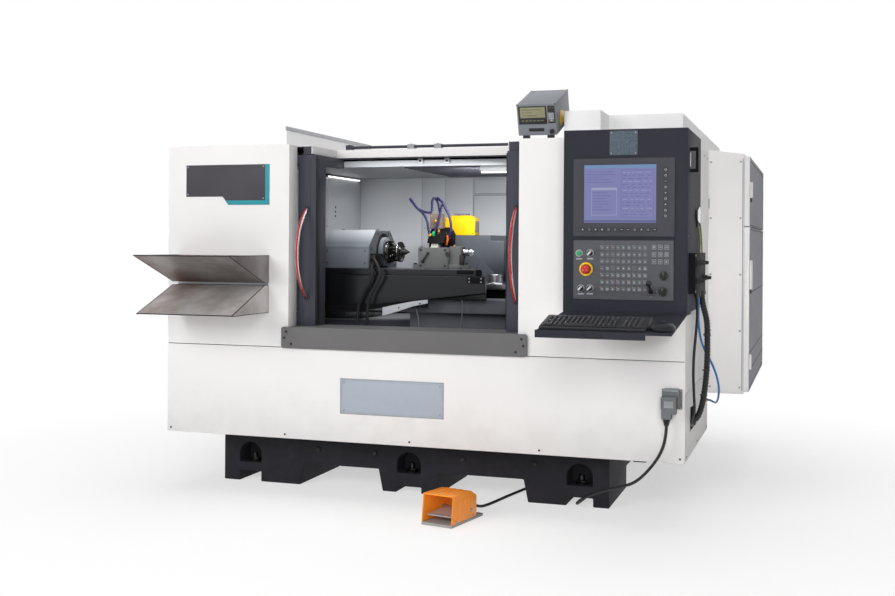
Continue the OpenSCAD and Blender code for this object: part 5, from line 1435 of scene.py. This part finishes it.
# %% [markdown]
# ## The gauge on the roof
#
# The measuring amplifier leans forward on its bail, so its details are drawn on an upright case
# and turned with it. Its face has a black frame round a pale olive display, a small key pad, a
# knob and a connector strip. Black bumpers guard its corners, and slots cool it at the rear.

# %% Gauge
ON_GAUGE = Matrix.Translation((1742, 140, 1698)) @ Matrix.Rotation(math.radians(20), 4, "X")
lcd = moulded("olive display", "8B8A6B", 0.2, 0.01)
lcd_dark = moulded("display bars", "6B6B50", 0.2, 0.01)
gauge_feet = [((1755, 120, 1660), (1910, 200, 1704), 1)]
rounded("gauge_shell", "gauge_case", "machine", "gauge_paint", [gauge_coat, black_plastic], 3, 3,
        gauge_feet)
block((7, -1.2, 52), (138, 2.6, 136), 2, 0, ON_GAUGE)
block((15, -1.6, 82), (131, 0, 131), 1, 1, ON_GAUGE)
for z, end in ((92, 94), (105, 72), (118, 112)):
    slab((24, -1.9, z), (end, -1.5, z + 3), 0.2, 2, ON_GAUGE)
row(6, (18, 0, 0), (20, -1.9, 66), (32, -1.1, 72), 0.5, 2, ON_GAUGE)
block((143, -1.4, 56), (176, 1, 136), 1.5, 0, ON_GAUGE)
for x, z in product((147, 156, 165), (66, 75.5, 85, 94.5)):
    tint = {(147, 66): 4, (165, 66): 5}.get((x, z), 3)
    slab((x, -4.6, z), (x + 6.5, -2.8, z + 6.5), 0.6, tint, ON_GAUGE)
for x, tint in ((150, 4), (159, 6), (168, 5)):
    rod((x, 0, 126), (x, -2.4, 126), 2.2, None, 12, 0.3, tint, ON_GAUGE)
block((50, -1.6, 19), (122, 1, 34), 1.5, 0, ON_GAUGE)
spun([(0, 0), (11, 0), (11, 8), (9, 13), (0, 13.4)], (158, 0, 18), (158, -1, 18), 32, 0, ON_GAUGE)
for x, y in product((-1, 175), (-1, 283)):
    block((x, y, 140), (x + 6, y + 8, 145.8), 2, 0, ON_GAUGE)
row(12, (0, 9, 0), (-0.8, 150, 60), (0.8, 155, 120), 0.6, 0, ON_GAUGE)
row(10, (0, 0, 9), (24, 289.4, 40), (156, 290.8, 44), 0.6, 0, ON_GAUGE)
plate([(70, 26), (150, 26), (168, 70), (104, 92), (70, 60)], "X", 179.6, 180.9, 0.4, 8, ON_GAUGE)
for x, y in product((18, 162), (20, 270)):
    screw_head(ON_GAUGE @ Vector((x, y, 145)), ON_GAUGE.to_3x3() @ Vector(UP), 4, 7)
add_piece("gauge_details", "machine", "gauge_paint", black_plastic, lcd, lcd_dark, key_light,
          red_plastic, green_plastic, sill_coat, zinc, yellow_plastic)
print("gauge dressed")

# %% [markdown]
# ## Trays on the front
#
# The trays are bent from stainless sheet, brownish with wear and handling, with hemmed edges.

# %% Trays
def worn_sheet(name, pale, dull):
    """Brushed stainless that has been handled for years: cloudy, streaked, reddish at the left."""
    finish = Finish(name, pale, 0.45, 0.25)
    broad = finish.noise(7, 5, 0.6)
    fine = finish.noise(30, 4, 0.6, finish.stretched(1, 12, 12))
    stained = finish.mix(finish.ramp(broad, (0.38, 0.0), (0.7, 1.0)), linear(pale), linear(dull))
    marked = finish.mix(finish.ramp(fine, (0.5, 0.0), (0.9, 0.5)), stained, linear("6A5A50"))
    left_end = finish.ramp((finish.axis("X") + 1.36) * 2.2, (0.30, 0.6), (0.62, 0.0))
    finish.set("Base Color", finish.mix(left_end * broad, marked, linear("7A4A38")))
    finish.set("Roughness", 0.35 + broad * 0.3)
    return finish.bump(fine * 0.5 + broad, 0.25)


# Both trays are one stainless sheet: the upper is given darker colours as painted shade, the lower
# paler ones as painted light. The wear and the reddish left end belong to the sheet itself.
shaded_upper_sheet = worn_sheet("upper worn stainless in painted shade", "8F8B8A", "6C6561")
lit_lower_sheet = worn_sheet("lower worn stainless in painted light", "D2CFCE", "ABA49F")
lower_half = [((0, -400, 860), (600, 0, 1005), 1)]
rounded("tray_sheets", "part_trays", "machine", "tray_steel", [shaded_upper_sheet, lit_lower_sheet], 0.8, 2,
        lower_half)
for x in (56.5, 549.5):
    for start, end in (
        ((-45, 1012), (-389, 1141)), ((-389, 1141), (0, 1141)),
        ((-45, 998), (-360, 870)), ((-360, 870), (0, 870)),
    ):
        rod((x, *start), (x, *end), 2.2, None, 12, 0.5, int(x > 300))
for y, z in ((-387.5, 1140), (-358.5, 871.5)):
    rod((56, y, z), (550, y, z), 2.6, None, 12, 0.5, 1)
block((58, -3, 998.4), (548, 0.2, 1011.6))
screws((90, 303, 516), -1.5, (1110, 900), FRONT, 6)
# The right-hand and front hems are drawn dark, the left-hand ones in zinc.
tray_edge = metal("dark tray hem", "4A4745", 0.4, None, 0.15, 0.02)
add_piece("tray_hems", "machine", "tray_steel", zinc, tray_edge)
print("trays hemmed")

# %% [markdown]
# The plates on the front are left bare: a dark one with a turquoise corner on the left housing,
# and a satin metal one with a raised rim on the apron.

# %% Bare plates
plate_dark = Finish("dark plate", "37333A", 0.28)
sheen = plate_dark.noise(5, 2)
plate_dark.set("Base Color", plate_dark.mix(sheen, linear("332F36"), linear("454149")))
plate_turquoise = moulded("turquoise plate", "24939F", 0.3, 0.01)
satin = metal("satin plate", "AEB6C2", 0.38, (1, 40, 40), 0.04, 0.01)
satin.set("Metallic", 0.45)
outline = [(99, 1579), (551, 1579), (551, 1385), (331, 1385), (299, 1425), (99, 1425)]
plate(outline, "Y", -2.4, 0.2, 0.8)
corner = [(551.4, 1579.4), (551.4, 1384.6), (331, 1384.6), (314, 1406), (529, 1406), (529, 1579.4)]
plate(corner, "Y", -2.9, -2.2, 0.2, 1)
for x, z in ((109, 1436), (109, 1569), (519, 1416), (519, 1569)):
    screw_head((x, -2.6, z), FRONT, 4, 2)
add_piece("housing_plate", "machine", "dark_frame", plate_dark, plate_turquoise, zinc)
block((925, -1.8, 405), (1435, 0.2, 571), 0.8)
frame_line(925, 405, 1435, 571, 5, -2.6, -1, 1)
frame_line(935, 415, 1425, 561, 1.4, -2.1, -1.6, 1)
for x, z in product((944, 1416), (424, 552)):
    ball((x, -2, z), 4.5, (1, 0.5, 1), 1)
add_piece("apron_plate", "machine", "bright_steel", satin, zinc)
print("two bare plates")

# %% [markdown]
# ## Sill, seams and screws of the enclosure
#
# The sill is held by three cap screws at each end. The housings' seams are closed by small round
# plugs, and the rear and left walls have louvres and access panels, as a service engineer needs.

# %% Enclosure details
screws((650, 1800), -15, 782, FRONT, 6)
screws((676, 1774), -15, 724, FRONT, 6)
screws((640, 1809), -15, 752, FRONT, 6)
screws((642, 1798), 0, (760, 1000, 1250, 1500, 1640), FRONT, 3, 1, False)
screws((20, 640, 1270, 1880, 2494), 0, 292, FRONT)
screws(2514, (60, 500, 960), 292, RIGHT)
screws(0, (60, 500, 960), 292, LEFT)
screws(2514, (500, 760, 940), 1640, RIGHT, 4)
add_piece("enclosure_screws", "machine", "zinc_steel", black_steel, white_coat)
for low, high in ((120, 800), (860, 1640), (1700, 2380)):
    block((low, 2399.6, 700), (high, 2402.6, 1600), 1.2)
    screws((low + 18, (low + high) / 2, high - 18), 2402.6, (718, 1150, 1582), BACK, 5, 1)
    for z in range(1300, 1499, 18):
        louvre = turned(-24, "X", (0, 2403, z))
        slab((low + 120, 2401, z), (high - 120, 2404, z + 12), 0.8, 0, louvre)
for low, high in ((1040, 1640), (1700, 2340)):
    block((-2.4, low, 640), (0.4, high, 1560), 1.2)
    screws(-2.4, (low + 18, high - 18), (658, 1100, 1542), LEFT, 5, 1)
    row(10, (0, 0, 20), (-3.6, low + 100, 1240), (-2, high - 100, 1250), 0.7, 2)
for y in (1100, 1560):
    block((-14, y, 1000), (-2, y + 24, 1120), 4, 2)
for x in (40, 1255):
    rod((x, 2340, 1671.8), (x, 2340, 1680), 16, None, 32, 1, 1)
    nut((x, 2340, 1680), (x, 2340, 1692), 11, 1, 1)
add_piece("service_panels", "machine", "white_sheet", white_coat, zinc, guard_black)
print("enclosure screwed")

# %% [markdown]
# ## The electrical cabinet
#
# Its front is closed by a cover with two rows of screws and a seam strip. The doors' side faces are
# a darker grey than the rest, partly their own cooler grey and partly painted shade, while their
# front edges stay white. They have pressed lines across them, white handle bars with black knobs
# and a gasket at the seam. Everything on a door rides on that door.

# %% Cabinet
# The door coat is darker than the white coat: partly the doors' own cooler grey, partly painted
# shade of the side in half shade.
door_grey_and_shade = painted("cabinet door coat with painted shade", "A3A6AC", 0.6, 0.1, 0.03).set("Specular IOR Level", 0.02)
front_edge = [((2685, 978, 400), (2725, 986, 1700), 1)]
for side in ("upper", "lower"):
    rounded(f"{side}_cabinet_door_panel", f"cabinet_door_{side}", f"{side}_cabinet_door",
            "white_sheet", [door_grey_and_shade, white_coat], 1.5, 2, front_edge)
screws((2528, 2674), 976, (492, 775, 1058, 1341, 1624), FRONT, 5.5)
block((2682.5, 974.6, 474), (2687.5, 976.4, 1640), 0.5, 1)
block((2517, 972.4, 1390), (2522, 976.2, 1440), 1)
screws(2530, (1040, 1240, 1500, 1760, 2020, 2280), 1684.4, UP, 4)
row(14, (7, 0, 0), (2560, 2399.6, 1420), (2563, 2401.6, 1560), 0.5, 1)
add_piece("cabinet_cover_screws", "machine", "zinc_steel", zinc, door_grey_and_shade)
for body, low, high, lines in (
    ("upper_cabinet_door", 1445, 1524, (1306, 1630)),
    ("lower_cabinet_door", 983, 1129, (964, 661, 570, 486, 1286)),
):
    for z in lines:
        slab((2717.2, 1060, z - 3), (2718.6, 2376, z + 3), 0.4, 3)
    block((2710, 1016, low), (2731, 1044, high), 4, 4, None, 3)
    rod((2714, 1030, low - 12), (2727, 1030, low - 12), 11, 9, 24, 1.5, 1)
    if body == "lower_cabinet_door":
        block((2710, 1016, 578), (2728, 1044, 654), 4, 4, None, 3)
    block((2690.4, 982.6, min(lines) - 10), (2716, 984, max(lines) - 8), 0.5, 3)
    add_piece(f"{body}_fittings", body, "black_plastic", door_grey_and_shade, black_plastic, zinc, rubber,
              white_coat)
print("cabinet dressed")

# %% [markdown]
# ## Switch leads, ties and the socket
#
# A black lead and an earth lead run down from the main switch to the port box. The conduit and
# the cable are tied together. At the corner below sits the foot switch's socket: a grey housing
# with a sprung lid, a plug with a locking lever, and the cable's ribbed boot.

# %% Leads and socket
earth_sheath = moulded("earth lead sheath", "A7A52E", 0.4, 0.01)
SWITCH_ROUTE = [
    (2541, 214, 1312), (2546, 236, 1300), (2548, 262, 1270), (2549, 282, 1230), (2550, 292, 1196),
    (2550, 296, 1171),
]
EARTH_ROUTE = [
    (2541, 208, 1296), (2547, 226, 1278), (2549, 246, 1246), (2550, 262, 1212), (2551, 268, 1188),
    (2551, 270, 1171),
]
hanging_line("switch_lead", SWITCH_ROUTE, 5, 8, "machine", rubber)
hanging_line("earth_lead", EARTH_ROUTE, 5, 5, "machine", earth_sheath)
block((2535.4, 200, 1282), (2544, 222, 1322), 2)
for x, y, z in ((SIDE + 59, 330, 800), (SIDE + 56, 336, 640), (SIDE + 47, 315, 530)):
    ring((x, y, z - 3), (x, y, z + 3), 17, 13.6)
    block((x - 4, y - 22, z - 3), (x + 4, y - 15, z + 3), 1)
for y, r in ((300, 19), (90, 10), (180, 9)):
    rod((SIDE + 36, y, 1001), (SIDE + 36, y, 984), r, None, 8, 1)
    rod((SIDE + 36, y, 986), (SIDE + 36, y, 974), r * 0.9, r * 0.75, 24, 1)
ring((2512, 273, 411), (2518, 272, 412), 21, 13, 40)
ring((2512, 225, 411), (2518, 224, 412), 12, 5.5)
nut((2513, 868, 438), (2526, 862, 438), 9, 1, 1)
block((2474, 150, 340), (2480, 470, 520), 1)
block((2474, 466, 340), (2511, 470, 520), 1)
add_piece("line_ties", "machine", "black_plastic", black_plastic, brass)

socket_grey = moulded("socket grey", "6C6F72", 0.5, 0.05)
socket_light = moulded("socket light grey", "9A9D9E", 0.42, 0.05)
rounded("socket_housing", "pedal_socket", "machine", "socket_grey", [socket_grey, rubber], 2.5, 3,
        [((2400, -90, 400), (2500, -20, 500), 1)])
screws((2423, 2497), -8, (511, 584), FRONT, 3.5, 1)
block((2430, -50, 584), (2490, -6, 592), 3)
rod((2428, -8, 590), (2492, -8, 590), 4, None, 16, 0.6, 1)
for x in (2420.5, 2485):
    block((x, -70, 512), (x + 4.5, -30, 560), 1.5, 2)
block((2436, -86, 520), (2474, -83.4, 548), 2)
row(3, (0, 0, 8), (2440, -87.4, 527), (2470, -85.6, 530), 0.8, 1)
rod((2444, -61, 497), (2444, -61, 440), 19, 8.6, 32, 1, 3)
for k in range(7):
    r = 18.6 - k * 1.45
    ring((2444, -61, 490 - k * 7), (2444, -61, 487 - k * 7), r + 1.4, r - 4, 28, 3)
add_piece("socket_details", "machine", "socket_grey", socket_light, zinc, black_plastic, rubber)
print("socket dressed")

# %% [markdown]
# ## The bed and its levelling screws
#
# The casting has machined pads below the skirt's edge, and lifting plugs that break its long dark
# front. Each levelling screw carries a washer and a jacking nut, with its thread showing above.

# %% Bed details
for y, out in ((250, -1), (1900, 1)):
    for x in (700, 1000, 1450, 1800):
        rod((x, y - 0.4 * out, 180), (x, y + 5 * out, 180), 17, 15, 32, 1)
        nut((x, y, 180), (x, y + 7 * out, 180), 8, 0.8, 1)
    low, high = sorted((y + 0.4, y + 3 * out))
    for x0, x1 in ((190, 590), (1055, 1300), (1770, 2140)):
        block((x0, low, 225), (x1, high, 262), 1.5)
add_piece("bed_pads", "machine", "bed_casting", cast_iron, black_steel)
for x, y in product((326.5, 1176.5, 2012), (305, 1845)):
    ring((x, y, 94.6), (x, y, 99), 30, 12.6)
    nut((x, y, 98.6), (x, y, 112), 22, 1.6)
    for z in range(113, 132, 3):
        ring((x, y, z), (x, y, z + 1.6), 12.8, 11, 24, 1)
add_piece("jacking_nuts", "machine", "zinc_steel", black_steel, dark_steel)
print("bed dressed")

# %% [markdown]
# ## The foot switch
#
# An orange guard keeps a dropped part off the treadle. Its sides are ribbed, its rim is rolled.
# The treadle has a ribbed rubber pad, which moves with it.

# %% Foot switch
ON_PEDAL = Matrix.Translation((1535, -215, 0)) @ Matrix.Rotation(math.radians(-12), 4, "Z")
glowing_guard_orange = moulded("guard orange", "FB962B", 0.36, 0.06, 700)
# A faint glow brightens the guard's orange: painted light, as the guard is no lamp.
glowing_guard_orange.set("Emission Color", linear("FB962B")).set("Emission Strength", 0.1)
pedal_grey = metal("treadle casting", "AFADAA", 0.45, None, 0.15, 0.08)
pedal_grey.set("Metallic", 0.2)
rounded("guard_shell", "pedal_guard", "machine", "orange_plastic", [glowing_guard_orange], 3, 3)
rounded("pedal_plate", "pedal_base", "machine", "pedal_grey", [pedal_grey], 1.5)
rounded("treadle_casting", "pedal_treadle", "pedal_treadle", "pedal_grey", [pedal_grey], 1)
for x in (-76.4, 74.6):
    row(4, (0, 34, 0), (x, -60, 26), (x + 1.8, -50, 108), 1, 0, ON_PEDAL, 2)
row(3, (32, 0, 0), (-40, -84, 130), (-24, 48, 134.6), 1.6, 0, ON_PEDAL, 2)
rod((-73, -97, 131), (73, -97, 131), 3.4, None, 16, 1, 0, ON_PEDAL)
for side in (-1, 1):
    for y in (-70, 84):
        nut((side * 74, y, 20), (side * 78, y, 20), 6, 0.8, 1, ON_PEDAL)
    rod((side * 66, 62, 46), (side * 79, 62, 46), 7, None, 24, 1, 1, ON_PEDAL)
for x in (-58, 58):
    nut((x, 150, 11), (x, 150, 16), 7, 0.8, 1, ON_PEDAL)
rod((0, 108, 44), (0, 128, 44), 13, 9, 32, 1.2, 2, ON_PEDAL)
add_piece("guard_ribs", "machine", "orange_plastic", glowing_guard_orange, zinc, rubber)
row(11, (0, 9, 0.43), (-54, -84, 40.4), (54, -79, 44.4), 1.2, 0, ON_PEDAL)
add_piece("treadle_pad", "pedal_treadle", "black_plastic", rubber)
print("foot switch dressed")

# %% [markdown]
# ## Light and floor
#
# The machine stands on a plain white floor in a white room. The floor has to look as white as the
# room, so a little of its own light is added for the camera and for reflections; what is left of
# its shading is the machine's soft shadow. Farther out it fades into the room altogether.

# %% Floor and surround
floor_mesh = bpy.data.meshes.new("floor")
grid = bmesh.new()
bmesh.ops.create_grid(grid, x_segments=1, y_segments=1, size=30)
grid.to_mesh(floor_mesh)
grid.free()
floor = bpy.data.objects.new("floor", floor_mesh)
bpy.context.collection.objects.link(floor)
floor_finish = Finish("floor", "F2F2F2", 0.7)
RAYS = ("Is Camera Ray", "Is Glossy Ray", "Is Transmission Ray")
camera_ray, glossy_ray, passing_ray = (floor_finish.node("LightPath", out=ray) for ray in RAYS)
seen = camera_ray.sum("MAXIMUM", camera_ray.sum("MAXIMUM", camera_ray, glossy_ray), passing_ray)
distance = floor_finish.node("VectorMath", {"operation": "LENGTH"}, {0: floor_finish.place},
                             "Value")
far = floor_finish.ramp(distance / 6, (0.25, 0.0), (0.55, 1.0))
own_light = floor_finish.node("Emission", None, {"Strength": 0.56})
pale = floor_finish.node("BsdfDiffuse", None, {"Color": linear("BCBCBC")})
room_white = floor_finish.node("Emission", None, {"Strength": 1.0})
lifted = floor_finish.node("AddShader", None, {0: pale, 1: own_light})
near = floor_finish.node("MixShader", None, {0: far, 1: lifted, 2: room_white})
plain = Wire(floor_finish, floor_finish.surface.outputs[0])
shown = floor_finish.node("MixShader", None, {0: seen, 1: plain, 2: near})
floor_finish.plug(floor_finish.tree.nodes["Material Output"].inputs["Surface"], shown)
floor_mesh.materials.append(floor_finish.material)

world = bpy.data.worlds.new("surround")
bpy.context.scene.world = world
world.use_nodes = True
sky = world.node_tree
background = sky.nodes["Background"]
light_path = sky.nodes.new("ShaderNodeLightPath")
seen_sky = light_path.outputs[RAYS[0]]
for kind in RAYS[1:]:
    brighter = sky.nodes.new("ShaderNodeMath")
    brighter.operation = "MAXIMUM"
    sky.links.new(seen_sky, brighter.inputs[0])
    sky.links.new(light_path.outputs[kind], brighter.inputs[1])
    seen_sky = brighter.outputs[0]
ROOM_LIGHT = 0.24
level = sky.nodes.new("ShaderNodeMapRange")
level.inputs["To Min"].default_value = ROOM_LIGHT
level.inputs["To Max"].default_value = 1.0
sky.links.new(seen_sky, level.inputs["Value"])
sky.links.new(level.outputs[0], background.inputs["Strength"])
background.inputs["Color"].default_value = (1, 1, 1, 1)
print("surround", ROOM_LIGHT, "of white")

# %% [markdown]
# ## Lamps
#
# Two wide key lamps stand in front, so the front is bright and the right side is in half shade,
# which shows the corner. Small lamps inside stand in for the strip lamps and light the pan,
# because a strip a few millimetres wide would need many samples to light the room without noise.

# %% Lamps
def soft_lamp(name, place, aim, size, power, hidden=False, spread=180):
    lamp = bpy.data.objects.new(name, bpy.data.lights.new(name, "AREA"))
    lamp.data.shape = "RECTANGLE"
    lamp.data.size, lamp.data.size_y = size
    lamp.data.energy = power
    lamp.data.spread = math.radians(spread)
    lamp.location = place
    lamp.rotation_euler = (Vector(aim) - Vector(place)).to_track_quat("-Z", "Y").to_euler()
    lamp.visible_camera = False
    lamp.visible_glossy = not hidden
    bpy.context.collection.objects.link(lamp)


soft_lamp("key lamp left", (-3.0, -7.5, 3.4), (-0.6, 0, 1.0), (3, 3), 240, True)
soft_lamp("key lamp right", (2.6, -9.0, 3.2), (0.3, 0, 1.0), (3, 3), 240, True)
soft_lamp("cabinet lamp", (2.3, -6.0, 1.7), (1.3, 0, 1.0), (0.4, 0.4), 1.2, True, 20)
soft_lamp("right lamp", (7.0, -1.0, 3.0), (0.8, 0, 1.0), (3, 3), 2, True)
soft_lamp("top lamp", (0.3, 0.5, 5.5), (0, 0, 1.0), (5, 5), 120, True)
soft_lamp("rear lamp", (-1.5, 6.5, 3.6), (0, 0, 1.0), (4, 3), 90, True)
soft_lamp("room lamp right", at(1600, 640, 1540), at(1500, 1400, 1000), (0.6, 0.1), 7.5)
soft_lamp("room lamp left", at(420, 1200, 1560), at(1200, 1250, 1000), (0.5, 0.1), 0.3, True)
soft_lamp("pan lamp", at(1000, 250, 730), at(980, 420, 845), (0.5, 0.04), 0.2, True)
soft_lamp("room lamp front", at(1200, 330, 1560), at(1150, 700, 1000), (0.8, 0.1), 2.7)

bpy.context.scene.view_settings.view_transform = "Standard"
print("ten lamps")
